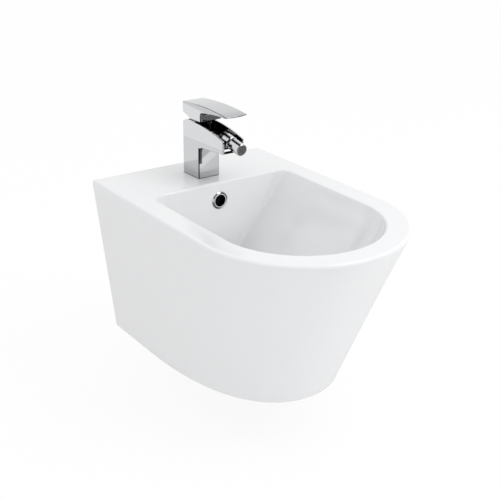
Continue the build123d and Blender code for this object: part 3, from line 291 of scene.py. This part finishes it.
def white_glaze(tone):
    """Glossy white glaze with a faint waviness, bare matt clay on the face that meets the wall, and painted
    shade, near black, inside the overflow channel."""
    made, finish, shader = material("white_glaze", {"IOR": 1.5})
    place, (x, y, z) = positions(finish)
    bare = (y > BARE_FROM) + (z < BODY_LOW.z + BARE_FOOT) * (y > -BARE_FOOT_DEPTH)
    bare = bare.math("MINIMUM", bare, 1.0)
    cloud = noise(finish, place, 9.0)
    speck = noise(finish, place, 700.0, 1.0)
    duller, brighter = (colour([part * change for part in tone]) for change in (0.992, 1.006))
    glaze = blend(finish, cloud, duller, brighter)
    fired = blend(finish, bare, glaze, blend(finish, speck, *CLAY))
    # Painted shade: the overflow channel's inside is painted near black.
    channel = (x.absolute() < CHANNEL_SIDE) * (y > CHANNEL_FRONT) * (y < CHANNEL_REAR) * (z < CHANNEL_TOP)
    finish.join(blend(finish, channel, fired, SHADOW), shader.inputs["Base Color"])
    finish.join(0.09 + 0.05 * cloud + 0.6 * bare, shader.inputs["Roughness"])
    wave = noise(finish, place, 38.0, 1.0) * 0.35 + noise(finish, place, 260.0, 1.0) * 0.03
    finish.join(bump(finish, wave + speck * bare * 0.1, 0.12, 0.0012), shader.inputs["Normal"])
    return made


def ramp(finish, value, span, low, high):
    """A smooth change from the low number to the high one as a value goes through a span."""
    smooth = {"interpolation_type": "SMOOTHSTEP"}
    return finish.node("ShaderNodeMapRange", smooth, value, *span, low, high)


def whole(finish, x, y, z):
    """The same tone all over."""
    return 1.0


EDGE_WIDTH = 0.9 * MM
FLAT_SPARE = 0.06 * MM


def rounded_edge(x, half):
    """1 on the rounded edges that run along both sides, 0 on the flat faces."""
    side = x.absolute()
    return (side > half - EDGE_WIDTH) * (side < half - FLAT_SPARE)


# Places on the tap, in metres, where its painted reflections and painted shade change
BAND = (0.1510, 0.1525)
FOOT_FADE = (0.092, 0.106)
FRONT_FACE = -0.0965
FRONT_FACE_TOP = 0.142
STRIPE_SLANT = 0.6
STRIPE_TOP = (0.128, 0.132)
STRIPE_LOW = (0.112, 0.116)
CORNER_LINE = (-0.0198, -0.0188)
STRIP = (-0.0150, -0.0140)
STRIP_LOW = (0.112, 0.113)
STRIPE_GAIN = 1.2
UNDER_SPOUT = 0.1475
COLUMN_FRONT = -0.09
FOOT_LINE = (0.0860, 0.0864)
CHEEK_INSIDE = (0.0172, 0.0182)
TROUGH_LOW = 0.1435
TROUGH_BACK = -0.0475


def tap_painted_reflections(finish, x, y, z):
    """Painted reflections and shade in the tap body's tone: reflected bands on its sides, highlight stripes
    on the column's front, dark reflected lines along the lower edges, a painted dark line at the foot, and
    painted shade inside."""
    wave = z + 0.03 * y + 0.1 * x * x / BODY_HIGH.z
    # Painted reflection: bands on the sides, duller towards the foot.
    band = ramp(finish, wave, BAND, 0.94, 1.06) * ramp(finish, z, FOOT_FADE, 0.82, 1.0)
    # Painted highlight stripes and dark reflected lines on the column's front face.
    front = (y < FRONT_FACE) * (z < FRONT_FACE_TOP)
    slant = z - STRIPE_SLANT * x
    stripe = ramp(finish, slant, STRIPE_TOP, 1.30, 0.85) * ramp(finish, slant, STRIPE_LOW, 0.85, 1.0)
    corner = ramp(finish, x, CORNER_LINE, 0.10, 1.0)
    strip = ramp(finish, x, STRIP, 0.14, 1.0).larger(ramp(finish, z, STRIP_LOW, 1.0, 0.0))
    band = band * (1 - front * (1 - stripe * corner * strip * STRIPE_GAIN))
    # Painted reflection and shade: dark lines along the column's lower rounded edges and a dark line at the
    # foot.
    line = rounded_edge(x, TAP_HIGH.x) * (z < UNDER_SPOUT) * (y < COLUMN_FRONT)
    band = band * (1 - 0.88 * line) * ramp(finish, z, FOOT_LINE, 0.3, 1.0)
    # Painted shade inside the trough between the cheeks.
    inside = ramp(finish, x.absolute(), CHEEK_INSIDE, 1.0, 0.0) * (z > TROUGH_LOW) * (y < TROUGH_BACK)
    return band * (1 - 0.93 * inside)


# Places on the lever, in metres, where its painted reflections and painted shade change
LEVER_SLANT = 0.055
LEVER_TOP = (0.2130, 0.2160)
LEVER_LINE = (-0.110, -0.075)
LEVER_FADE = (-0.184, -0.150)
TIP_LENGTH = 1.1 * MM
TIP_TOP = 0.2136


def lever_painted_reflections(finish, x, y, z):
    """Painted reflections in the lever's tone: duller on top and towards the tip, with dark reflected lines
    along its edges and a painted dark line at the tip.
    """
    top = ramp(finish, z - LEVER_SLANT * y, LEVER_TOP, 1.08, 0.86)
    line = rounded_edge(x, LEVER_HIGH.x) * ramp(finish, y, LEVER_LINE, 1.0, 0.25)
    tip = (y < LEVER_LOW.y + TIP_LENGTH) * (z < TIP_TOP)
    return top * ramp(finish, y, LEVER_FADE, 0.80, 1.0) * (1 - 0.85 * line.larger(tip))


def dome_painted_shade(finish, x, y, z):
    """Painted shade, nearly black, on the collar under the lever, which mirrors only what is over it."""
    return 0.10


# Shares of the overflow ring's radius where its painted reflections and painted shade change
RING_GROOVE = (0.80, 0.85)
RING_LIP = (0.80, 0.81)
RING_SLEEVE = (0.705, 0.72)
QUARTER = (-0.35, 0.25)


def overflow_painted_reflections(finish, x, y, z):
    """Painted reflections and shade in the ring's tone: bright and dark reflected quarters, a painted dark
    groove, a painted highlight on the lip and painted black shade in the sleeve.
    """
    across, up = x / RING_HIGH.x, (z - OVERFLOW_Z) / RING_HIGH.x
    radius = (across * across + up * up) ** 0.5
    turn = across * up / (radius * radius + 0.01)
    quarter = ramp(finish, turn, QUARTER, 1.25, 0.22).larger(radius < RING_GROOVE[0])
    groove = 1 - 0.8 * (radius > RING_GROOVE[0]) * (radius < RING_GROOVE[1])
    lip = ramp(finish, radius, RING_LIP, 1.4, 1.0)
    return quarter * groove * lip * ramp(finish, radius, RING_SLEEVE, 0.03, 1.0)


def chrome(name, tone, bands=whole):
    """Polished chrome plate with faint smears and the last trace of the casting's waviness, its colour scaled
    by any painted reflections and shade that are given.
    """
    made, finish, shader = material(name, {"Metallic": 1.0})
    place, parts = positions(finish)
    smear = noise(finish, place, 60.0, 4.0, 0.6)
    plate = blend(finish, smear, colour([part * 0.97 for part in tone]), colour(tone))
    scaled = {"operation": "SCALE"}
    # The base colour is scaled by the painted reflections and painted shade.
    shaded = finish.node("ShaderNodeVectorMath", scaled, plate, Scale=bands(finish, *parts))
    finish.join(shaded, shader.inputs["Base Color"])
    finish.join(0.03 + 0.05 * smear, shader.inputs["Roughness"])
    finish.join(bump(finish, noise(finish, place, 45.0, 1.0), 0.06, 0.0006), shader.inputs["Normal"])
    return made


def metal(name, dark, light, grain, roughness):
    """Bare or plated metal: a fine grain in colour, roughness and height."""
    made, finish, shader = material(name, {"Metallic": 1.0})
    place, _ = positions(finish)
    fine = noise(finish, place, grain, 3.0, 0.6)
    patch = noise(finish, place, 70.0, 2.0)
    mixed = blend(finish, fine * 0.5 + patch * 0.5, colour(dark), colour(light))
    finish.join(mixed, shader.inputs["Base Color"])
    finish.join(roughness + 0.18 * patch, shader.inputs["Roughness"])
    finish.join(bump(finish, fine, 0.15, 0.0002), shader.inputs["Normal"])
    return made


def moulded(name, dark, light, grain, roughness):
    """Rubber or plastic with a fine moulded grain."""
    made, finish, shader = material(name, {})
    place, _ = positions(finish)
    fine = noise(finish, place, grain, 2.0)
    patch = noise(finish, place, 90.0, 2.0)
    finish.join(blend(finish, patch, colour(dark), colour(light)), shader.inputs["Base Color"])
    finish.join(roughness + 0.12 * fine, shader.inputs["Roughness"])
    finish.join(bump(finish, fine, 0.2, 0.00025), shader.inputs["Normal"])
    return made


# Surfaces


def grid_mesh(name, points):
    """A mesh through a grid of points that closes on itself both ways, with doubles merged."""
    rows, columns = points.shape[:2]
    index = np.arange(rows * columns).reshape(rows, columns)
    right = np.roll(index, -1, axis=1)
    up = np.roll(index, -1, axis=0)
    corner = np.roll(up, -1, axis=1)
    faces = np.stack([index, right, corner, up], axis=-1).reshape(-1, 4)
    mesh = bpy.data.meshes.new(name)
    mesh.from_pydata(points.reshape(-1, 3), [], faces)
    work = bmesh.new()
    work.from_mesh(mesh)
    bmesh.ops.remove_doubles(work, verts=work.verts, dist=1e-6)
    bmesh.ops.recalc_face_normals(work, faces=work.faces)
    work.to_mesh(mesh)
    work.free()
    piece = bpy.data.objects.new(name, mesh)
    bpy.context.scene.collection.objects.link(piece)
    return piece


def rounded(corner, first, second, radius, steps):
    """An arc tangent to two directions from each corner point, as rows from the first to the second."""
    first = first / np.linalg.norm(first, axis=-1, keepdims=True)
    second = second / np.linalg.norm(second, axis=-1, keepdims=True)
    half = np.arccos(np.clip((first * second).sum(-1, keepdims=True), -1, 1)) / 2
    reach = radius / np.tan(half)
    middle = first + second
    middle /= np.maximum(np.linalg.norm(middle, axis=-1, keepdims=True), 1e-9)
    centre = corner + middle * radius / np.sin(half)
    start = corner + first * reach - centre
    end = corner + second * reach - centre
    turn = np.maximum(np.pi - 2 * half, 1e-6)
    share = np.linspace(0, 1, steps + 1)[:, None, None]
    return centre + (np.sin((1 - share) * turn) * start + np.sin(share * turn) * end) / np.sin(turn)


def between(low, high, steps):
    """Straight rows strictly between two rows of points."""
    share = np.linspace(0, 1, steps + 1)[1:-1, None, None]
    return low + (high - low) * share


# Glazed body

BACK_STEPS = 28
CORNER_STEPS = 8
SIDE_STEPS = 44
FRONT_STEPS = 48


def level(outline, z):
    """A flat outline as points at one height."""
    return np.column_stack([outline, np.full(len(outline), z)])


def run(start, end, steps):
    """Points from a start up to, but without, an end."""
    share = np.linspace(0, 1, steps, endpoint=False)[:, None]
    return np.array(start) + (np.array(end) - np.array(start)) * share


def mirrored(half):
    """A half outline from the back's middle to the nose, and its mirror image back again."""
    other = half[::-1] * (-1, 1)
    return np.concatenate([half, other[1:-1]])


def rim_outline(s, inset, back):
    """The rim: straight back and sides, and a half circle in front, as a rational quadratic."""
    half = s.width / 2 - inset
    t = np.linspace(0, 1, FRONT_STEPS + 1)
    weight = sqrt(0.5)
    shares = np.stack([(1 - t) ** 2, 2 * weight * t * (1 - t), t**2], axis=-1)
    corners = np.array([(half, -s.side), (half, -s.side - half), (0, -s.side - half)])
    arc = shares @ corners / shares.sum(-1, keepdims=True)
    corner = np.repeat([(half, back)], CORNER_STEPS, axis=0)
    return mirrored(np.concatenate([
        run((0, back), (half, back), BACK_STEPS), corner, run((half, back), (half, -s.side), SIDE_STEPS), arc,
    ]))


FOOT_HANDLE = 0.64


def foot_outline(s, inset, back):
    """The foot: straight back and sides, and one cubic curve each side in front."""
    half = s.foot_width / 2 - inset
    side = -s.foot_side
    nose = inset - s.foot_length
    reach = FOOT_HANDLE * (side - nose)
    t = np.linspace(0, 1, FRONT_STEPS + 1)
    shares = np.stack([(1 - t) ** 3, 3 * t * (1 - t) ** 2, 3 * t**2 * (1 - t), t**3], axis=-1)
    curve = shares @ np.array([(half, side), (half, side - reach), (FOOT_HANDLE * half, nose), (0, nose)])
    corner = np.repeat([(half, back)], CORNER_STEPS, axis=0)
    return mirrored(np.concatenate([
        run((0, back), (half, back), BACK_STEPS), corner, run((half, back), (half, side), SIDE_STEPS), curve,
    ]))


def shell(s, inset, back, z):
    """The outer form at one height: straight lines from the foot's outline to the rim's."""
    low = level(foot_outline(s, inset, back), BODY_LOW.z)
    high = level(rim_outline(s, inset, back), BODY_HIGH.z)
    return low + (high - low) * (z - BODY_LOW.z) / (BODY_HIGH.z - BODY_LOW.z)


NOSE_POWER = 1.9
CORNER_POWER = 2.5


def bowl(s, step, grow, depth):
    """The bowl at one share of its depth: straight back, round corners, slanting sides, half-circle front."""
    rim_half = s.width / 2 - s.rim
    half = rim_half + (s.floor_half - rim_half) * step + grow
    corner = s.floor_corner + (s.bowl_corner - s.floor_corner) * (1 - step) ** CORNER_POWER + grow / 2
    drain_nose = -DRAIN_Y + s.floor_half
    rim_nose = s.side + rim_half
    rise = (1 - step**NOSE_POWER) ** (1 / NOSE_POWER)
    nose = -drain_nose - (rim_nose - drain_nose) * rise - grow
    back = grow - s.bowl_back
    centre = nose + half
    turn = np.linspace(np.pi / 2, 0, CORNER_STEPS, endpoint=False)
    bend = np.column_stack([half - corner + corner * np.cos(turn), back - corner + corner * np.sin(turn)])
    turn = np.linspace(0, np.pi / 2, FRONT_STEPS + 1)
    front = np.column_stack([half * np.cos(turn), centre - half * np.sin(turn)])
    outline = mirrored(np.concatenate([
        run((0, back), (half - corner, back), BACK_STEPS), bend,
        run((half, back - corner), (half, centre), SIDE_STEPS), front,
    ]))
    return level(outline, BODY_HIGH.z - depth * step)


def outward(points):
    """The level direction out of a closed outline at each point, from its neighbours."""
    along = np.roll(points, -1, axis=0) - np.roll(points, 1, axis=0)
    normal = np.column_stack([-along[:, 1], along[:, 0], np.zeros(len(points))])
    return normal / np.linalg.norm(normal, axis=1, keepdims=True)


def across(direction, points):
    """A direction without its part along the outline, upright and level parts only."""
    normal = outward(points)
    flat = (direction * normal).sum(-1, keepdims=True) * normal
    return flat + direction * (0, 0, 1)


def ring(radius, outline, z):
    """A circle round the drain, each point in the direction of an outline's."""
    centre = np.array([0, DRAIN_Y])
    direction = outline[:, :2] - centre
    direction /= np.linalg.norm(direction, axis=1, keepdims=True)
    return level(centre + radius * direction, z)


def wall_edge(rows):
    """Keeps the back flat: its rows follow the corner's, drawn in towards the middle."""
    share = np.linspace(0, 1, BACK_STEPS, endpoint=False)
    count = rows.shape[1]
    corner = rows[:, BACK_STEPS + CORNER_STEPS, None, :]
    flat = corner * np.array([1, 0, 1])
    right = flat * np.stack([share, np.zeros(BACK_STEPS), np.ones(BACK_STEPS)], axis=-1)
    rows[:, :BACK_STEPS] = right
    rows[:, BACK_STEPS:BACK_STEPS + CORNER_STEPS] = flat
    rows[:, count - BACK_STEPS + 1:] = right[:, :0:-1] * (-1, 1, 1)
    rows[:, count - BACK_STEPS - CORNER_STEPS + 1:count - BACK_STEPS + 1] = flat * (-1, 1, 1)
    return rows


def side_normals(points):
    """Outward directions of the outer form, straight to the side along the straight sides."""
    normal = outward(points)
    edge = BACK_STEPS + CORNER_STEPS
    normal[:edge + 1] = (1, 0, 0)
    normal[-edge:] = (-1, 0, 0)
    return normal


# Rows of points on each stretch of the casting, and shares of its depth where stretches start
FOOT_EDGE_STEPS = 6
RIM_EDGE_STEPS = 8
FLOOR_EDGE_STEPS = 5
OUTSIDE_ROWS = 16
RIM_ROWS = 8
BOWL_ROWS = 26
CURVE_ROWS = 14
UNDER_ROWS = 16
DECK_ROWS = 4
ROOM_ROWS = 6
JUST_UNDER_RIM = 0.001
JUST_OVER_FLOOR = 0.98
BOWL_FIRST = 0.05
BOWL_CURVE = 0.8
CURVE_LAST = 0.15
UNDER_FIRST = 0.97


def body_rows(s):
    """The whole casting as rows round it, from the foot up the outside, over the rim, down the bowl,
    through the drain, up the bowl's underside and down the inside of the wall to the foot again."""
    foot = shell(s, 0, 0, BODY_LOW.z)
    rim = shell(s, 0, 0, BODY_HIGH.z)
    rise = rim - foot
    normal = side_normals(rim)
    slope = (rise * normal).sum(-1, keepdims=True) * normal + rise * (0, 0, 1)
    foot_normal = side_normals(foot)
    foot_slope = (rise * foot_normal).sum(-1, keepdims=True) * foot_normal + rise * (0, 0, 1)
    foot_edge = wall_edge(rounded(foot, -foot_normal, foot_slope, s.rounding, FOOT_EDGE_STEPS))
    rim_edge = wall_edge(rounded(rim, -slope, -normal, s.rounding, RIM_EDGE_STEPS))
    mouth = bowl(s, 0, 0, s.bowl_depth)
    fall = across(bowl(s, JUST_UNDER_RIM, 0, s.bowl_depth) - mouth, mouth)
    mouth_edge = rounded(mouth, outward(mouth), fall, s.mouth_rounding, RIM_EDGE_STEPS)
    floor = bowl(s, 1, 0, s.bowl_depth)
    climb = across(bowl(s, JUST_OVER_FLOOR, 0, s.bowl_depth) - floor, floor)
    floor_edge = rounded(floor, climb, -outward(floor), s.floor_rounding, FLOOR_EDGE_STEPS)
    steep = np.linspace(BOWL_FIRST, BOWL_CURVE, BOWL_ROWS)
    curved = 1 - (1 - BOWL_CURVE) * np.linspace(1, CURVE_LAST, CURVE_ROWS)[1:] ** 2
    shares = np.concatenate([steep, curved])
    bowl_rows = [bowl(s, share, 0, s.bowl_depth) for share in shares]
    floor_z = BODY_HIGH.z - s.bowl_depth
    under = floor_z - s.floor_wall
    outer_depth = s.bowl_depth + s.floor_wall
    deck_under = BODY_HIGH.z - s.deck
    under_bowl = bowl(s, 1, s.bowl_wall, outer_depth)
    climb_shares = np.linspace(UNDER_FIRST, s.deck / outer_depth, UNDER_ROWS)
    under_rows = [bowl(s, share, s.bowl_wall, outer_depth) for share in climb_shares]
    lip = BODY_LOW.z + s.lip_height
    inset = s.wall + s.lip_width
    mouth_back = -s.back_wall - s.lip_width
    room_top = shell(s, s.wall, -s.back_wall, deck_under)
    room_low = shell(s, s.wall, -s.back_wall, lip)
    rows = [
        *foot_edge, *between(foot_edge[-1], rim_edge[0], OUTSIDE_ROWS), *rim_edge,
        *between(rim_edge[-1], mouth_edge[0], RIM_ROWS), *mouth_edge, *bowl_rows, *floor_edge,
        ring(s.recess, floor, floor_z), ring(s.recess, floor, floor_z - s.recess_depth),
        ring(s.drain, floor, floor_z - s.recess_depth), ring(s.drain, floor, BOSS_Z),
        ring(s.boss, floor, BOSS_Z), ring(s.boss, floor, under), under_bowl, *under_rows,
        *between(under_rows[-1], room_top, DECK_ROWS), room_top,
        *between(room_top, room_low, ROOM_ROWS), room_low,
        shell(s, inset, mouth_back, lip), shell(s, inset, mouth_back, BODY_LOW.z),
    ]
    return np.stack(rows)


def cutter(name, mesh_maker):
    """A closed solid that cuts or adds to the body."""
    mesh = bpy.data.meshes.new(name)
    work = bmesh.new()
    mesh_maker(work)
    work.to_mesh(mesh)
    work.free()
    made = bpy.data.objects.new(name, mesh)
    bpy.context.scene.collection.objects.link(made)
    return made


def add_box(work, low, high):
    """Adds a box between two corners."""
    low, high = Vector(low), Vector(high)
    place = Matrix.Translation((low + high) / 2) @ Matrix.Diagonal((*(high - low), 1))
    bmesh.ops.create_cube(work, size=1, matrix=place)


def add_rod(work, start, end, radius, sides=64):
    """Adds a round rod between two points."""
    start, end = Vector(start), Vector(end)
    turn = (end - start).to_track_quat("Z", "Y").to_matrix().to_4x4()
    place = Matrix.Translation((start + end) / 2) @ turn
    bmesh.ops.create_cone(work, cap_ends=True, segments=sides, radius1=radius, radius2=radius,
                          depth=(end - start).length, matrix=place)


def combine(piece, other, operation):
    """Joins or cuts a piece with another solid, which then goes."""
    modifier = piece.modifiers.new(operation.title(), "BOOLEAN")
    modifier.operation = operation
    modifier.solver = "EXACT"
    modifier.object = other
    modifier.use_self = True
    graph = bpy.context.evaluated_depsgraph_get()
    mesh = bpy.data.meshes.new_from_object(piece.evaluated_get(graph))
    piece.modifiers.clear()
    piece.data = mesh
    bpy.data.objects.remove(other)


CHANNEL_HALF = 18 * MM
CHANNEL_DEPTH = 12 * MM
CHANNEL_HEIGHT = 14 * MM
CHANNEL_WALL = 8 * MM
CHANNEL_ABOVE_HOLE = 4 * MM
CHANNEL_ABOVE_BOSS = 8 * MM
CASING_OVERLAP = 1 * MM
APART = 0.05 * MM
OVERFLOW_RADIUS = 12 * MM
TAP_HOLE_RADIUS = 17.5 * MM
FIXING_RADIUS = 9 * MM
SERVICE_HALF = 60 * MM
SERVICE_TOP = 30 * MM
SERVICE_SPARE = 0.5 * MM
BEYOND = 5 * MM
SHARP_FROM = radians(32)


def add_channel(work, s, wall, front):
    """Adds the overflow's shaft and tunnel, or with a wall their casing."""
    half = CHANNEL_HALF + wall
    rear = -s.bowl_back + s.bowl_wall + CHANNEL_DEPTH + wall
    top = OVERFLOW_Z + OVERFLOW_RADIUS + CHANNEL_ABOVE_HOLE + wall
    low = BOSS_Z + CHANNEL_ABOVE_BOSS - wall + (APART if wall else 0)
    tunnel_top = BOSS_Z + CHANNEL_ABOVE_BOSS + CHANNEL_HEIGHT + wall
    add_box(work, (-half, front, low), (half, rear, top))
    add_box(work, (-half, DRAIN_Y, low), (half, rear - APART, tunnel_top))


def body_openings(work, s):
    """Adds every hole and channel through the body."""
    over, under = ((0, TAP_Y, z) for z in (BODY_HIGH.z + BEYOND, BODY_HIGH.z - s.deck - BEYOND))
    add_rod(work, over, under, TAP_HOLE_RADIUS)
    wall_front = -s.bowl_back
    through = wall_front + s.bowl_wall + CHANNEL_DEPTH / 2
    add_rod(work, (0, wall_front - BEYOND, OVERFLOW_Z), (0, through, OVERFLOW_Z), OVERFLOW_RADIUS)
    add_channel(work, s, 0, wall_front + s.bowl_wall)
    for side in (-1, 1):
        x = side * FIXING_X
        add_rod(work, (x, -s.back_wall - BEYOND, 0), (x, BEYOND, 0), FIXING_RADIUS)
    front = -s.back_wall - s.lip_width - SERVICE_SPARE
    low = (-SERVICE_HALF, front, BODY_LOW.z - BEYOND)
    add_box(work, low, (SERVICE_HALF, BEYOND, SERVICE_TOP))


def glazed_body(s):
    """The casting with its overflow casing and openings."""
    piece = grid_mesh("glazed_body", body_rows(s))
    front = -s.bowl_back + s.bowl_wall - CASING_OVERLAP
    casing = cutter("casing", lambda work: add_channel(work, s, CHANNEL_WALL, front))
    combine(piece, casing, "UNION")
    holes = cutter("holes", lambda work: body_openings(work, s))
    combine(piece, holes, "DIFFERENCE")
    piece.data.shade_smooth()
    piece.data.set_sharp_from_angle(angle=SHARP_FROM)
    return piece


class BIDET_OT_body(bpy.types.Operator):
    """Builds the glazed body."""

    bl_idname = "bidet.body"
    bl_label = "Glazed body"

    def execute(self, context):
        piece = glazed_body(context.scene.bidet_body)
        piece.data.materials.clear()
        piece.data.materials.append(white_glaze(context.scene.bidet_studio.glaze))
        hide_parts("ceramic_rim", "ceramic_bowl", "ceramic_shell")
        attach(piece, "base")
        return {"FINISHED"}


class BIDET_OT_finishes(bpy.types.Operator):
    """Gives the fixed pieces their finishes."""

    bl_idname = "bidet.finishes"
    bl_label = "Finishes"

    def execute(self, context):
        studio = context.scene.bidet_studio
        finishes = {
            "chrome": chrome("chrome", studio.chrome),
            "nozzle_brass": chrome("plated_brass", studio.plated),
            "steel": metal("zinc_plate", (0.40, 0.41, 0.44), (0.56, 0.57, 0.58), 900.0, 0.24),
            "brass": metal("machined_brass", (0.58, 0.42, 0.18), (0.76, 0.60, 0.32), 1100.0, 0.20),
            "black_rubber": moulded("black_rubber", (0.012, 0.012, 0.013), (0.03, 0.03, 0.03), 1500.0, 0.5),
            "white_plastic": moulded("white_plastic", (0.74, 0.74, 0.71), (0.82, 0.82, 0.80), 1300.0, 0.32),
            "grey_plastic": moulded("grey_plastic", (0.075, 0.078, 0.082), (0.12, 0.12, 0.13), 1300.0, 0.34),
            "disc_ceramic": moulded("disc_ceramic", (0.80, 0.79, 0.75), (0.88, 0.87, 0.84), 2000.0, 0.16),
        }
        for row in frame["record"]["subparts"]:
            node = frame["nodes"][row["node"]]
            finish = finishes.get(row["material_slot"])
            if finish is not None:
                node.data.materials.clear()
                node.data.materials.append(finish)
        # Chrome with painted reflections and painted shade on the tap body, lever, dome cover and overflow
        # ring.
        reflection_painted_pieces = {
            "tap_body": tap_painted_reflections, "lever": lever_painted_reflections, "dome_cover": dome_painted_shade,
            "overflow_ring": overflow_painted_reflections,
        }
        for name, bands in reflection_painted_pieces.items():
            frame["nodes"][name].data.materials[0] = chrome("chrome_" + name, studio.chrome, bands)
        return {"FINISHED"}


# Studio

TARGET = Vector((0, -0.220, -0.035))
YAW = radians(-35.65)
PITCH = radians(23.80)
ROLL = radians(0.66)
DISTANCE = 1.6282
FOCAL_PIXELS = 944.0
CENTRE_PIXELS = (248.53, 262.25)
PICTURE = 500
SENSOR = 36.0
FLOOR_DROP = 0.104
FLOOR_HALF = 14.0
FLOOR_GLOW = 0.9
FLOOR_REACH = 1.3
DARK_SIDE = (-0.1, -0.995)
DARK = (0.45, 0.65)
DARK_LEVEL = 0.03
# Painted shade in the floor's glow, as reflections see it, near the object
NEAR = (0.92, 1.02)
NEAR_LEVEL = 0.80
FLOOR_TONE = (0.93, 0.93, 0.93, 1)
FLOOR_THICKNESS = 0.02
KEY_PLACE = (0.9, -1.9, 1.9)
KEY_AIM = (0, -0.25, 0)
KEY_SIZE = 1.4


def camera():
    """The camera at the photograph's viewing angle."""
    back = Vector((sin(YAW) * cos(PITCH), -cos(YAW) * cos(PITCH), sin(PITCH)))
    right = Vector((cos(YAW), sin(YAW), 0))
    up = back.cross(right)
    rolled_right = right * cos(ROLL) + up * sin(ROLL)
    rolled_up = up * cos(ROLL) - right * sin(ROLL)
    data = bpy.data.cameras.new("camera")
    data.sensor_width = SENSOR
    data.lens = FOCAL_PIXELS / PICTURE * SENSOR
    data.shift_x = (PICTURE / 2 - CENTRE_PIXELS[0]) / PICTURE
    data.shift_y = (CENTRE_PIXELS[1] - PICTURE / 2) / PICTURE
    made = bpy.data.objects.new("camera", data)
    turn = Matrix((rolled_right, rolled_up, back)).transposed()
    made.matrix_world = Matrix.Translation(TARGET + back * DISTANCE) @ turn.to_4x4()
    bpy.context.scene.collection.objects.link(made)
    bpy.context.scene.camera = made


def lamp(name, place, aim, width, height, power):
    """A soft rectangular lamp that faces a point."""
    data = bpy.data.lights.new(name, "AREA")
    data.shape = "RECTANGLE"
    data.size = width
    data.size_y = height
    data.energy = power
    made = bpy.data.objects.new(name, data)
    made.location = place
    made.rotation_euler = (Vector(aim) - Vector(place)).to_track_quat("-Z", "Y").to_euler()
    bpy.context.scene.collection.objects.link(made)


def studio_white(finish, place):
    """What glossy surfaces see of the studio: white, and dark round the camera's side of the room."""
    x, y, _ = place
    towards = x * DARK_SIDE[0] + y * DARK_SIDE[1]
    return ramp(finish, towards, DARK, 1.0, DARK_LEVEL)


def seen_directly(finish):
    """1 for what the camera, a mirror or glass sees, 0 for the light that falls on the object."""
    path = finish.tree.nodes.new("ShaderNodeLightPath")
    names = ("Is Camera Ray", "Is Glossy Ray", "Is Transmission Ray")
    camera_ray, glossy, through = (Value(finish, path.outputs[name]) for name in names)
    return camera_ray, camera_ray.larger(glossy.larger(through))


def room(strength):
    """The world: soft white light all round, seen as white, with a dark part behind the camera in gloss."""
    world = bpy.data.worlds.new("room")
    world.use_nodes = True
    finish = Finish(world.node_tree)
    coordinates = world.node_tree.nodes.new("ShaderNodeTexCoord")
    parts = world.node_tree.nodes.new("ShaderNodeSeparateXYZ")
    world.node_tree.links.new(coordinates.outputs["Generated"], parts.inputs["Vector"])
    direction = [Value(finish, socket) for socket in parts.outputs]
    camera_ray, direct = seen_directly(finish)
    pattern = studio_white(finish, direction)
    shown = camera_ray + (1 - camera_ray) * pattern
    background = world.node_tree.nodes["Background"]
    background.inputs["Color"].default_value = (1, 1, 1, 1)
    finish.join(strength + direct * (shown - strength), background.inputs["Strength"])
    bpy.context.scene.world = world


def floor_finish():
    """A pale floor that glows white to the camera and in reflections and keeps a faint shadow; in reflections
    its glow is darker on the room's dark side and, as painted shade, near the object.
    """
    made, finish, shader = material("floor", {"Base Color": FLOOR_TONE, "Roughness": 0.7})
    _, parts = positions(finish)
    camera_ray, direct = seen_directly(finish)
    pattern = studio_white(finish, [part / FLOOR_REACH for part in parts])
    x, y, _ = parts
    distance = (x * x + y * y) ** 0.5
    # Painted shade: the floor's glow in reflections is darker near the object.
    pattern = pattern * ramp(finish, distance, NEAR, NEAR_LEVEL, 1.0)
    glow = finish.tree.nodes.new("ShaderNodeEmission")
    finish.join(camera_ray + (1 - camera_ray) * pattern, glow.inputs["Strength"])
    mixed = finish.node("ShaderNodeMixShader", {}, direct * FLOOR_GLOW, Value(finish, shader.outputs[0]),
                        Value(finish, glow.outputs[0]))
    finish.join(mixed, finish.tree.nodes["Material Output"].inputs["Surface"])
    return made


class BIDET_OT_studio(bpy.types.Operator):
    """Builds the floor, lights, world and camera."""

    bl_idname = "bidet.studio"
    bl_label = "Studio"

    def execute(self, context):
        scene = context.scene
        scene.view_settings.view_transform = "Standard"
        room(scene.bidet_studio.world)
        mesh = bpy.data.meshes.new("floor")
        work = bmesh.new()
        floor_z = BODY_LOW.z - FLOOR_DROP
        low = (-FLOOR_HALF, -FLOOR_HALF, floor_z - FLOOR_THICKNESS)
        add_box(work, low, (FLOOR_HALF, FLOOR_HALF, floor_z))
        work.to_mesh(mesh)
        work.free()
        floor = bpy.data.objects.new("floor", mesh)
        scene.collection.objects.link(floor)
        floor.data.materials.append(floor_finish())
        lamp("key", KEY_PLACE, KEY_AIM, KEY_SIZE, KEY_SIZE, scene.bidet_studio.key)
        camera()
        return {"FINISHED"}


class BIDET_PT_panel(bpy.types.Panel):
    """The sidebar panel of the bidet's steps and sizes."""

    bl_label = "Bidet"
    bl_idname = "BIDET_PT_panel"
    bl_space_type = "VIEW_3D"
    bl_region_type = "UI"
    bl_category = "Bidet"

    def draw(self, context):
        for operator in OPERATORS:
            self.layout.operator(operator.bl_idname)
        for group in (context.scene.bidet_body, context.scene.bidet_studio):
            for name in group.bl_rna.properties.keys():
                if name not in ("rna_type", "name"):
                    self.layout.prop(group, name)


OPERATORS = (BIDET_OT_body, BIDET_OT_finishes, BIDET_OT_studio)
CLASSES = (BodySizes, StudioSettings, *OPERATORS, BIDET_PT_panel)


def register():
    for item in CLASSES:
        bpy.utils.register_class(item)
    bpy.types.Scene.bidet_body = PointerProperty(type=BodySizes)
    bpy.types.Scene.bidet_studio = PointerProperty(type=StudioSettings)


def unregister():
    del bpy.types.Scene.bidet_studio
    del bpy.types.Scene.bidet_body
    for item in reversed(CLASSES):
        bpy.utils.unregister_class(item)


def main():
    """Builds every piece in order."""
    register()
    bpy.ops.bidet.body()
    bpy.ops.bidet.finishes()
    bpy.ops.bidet.studio()


if __name__ == "__main__":
    main()
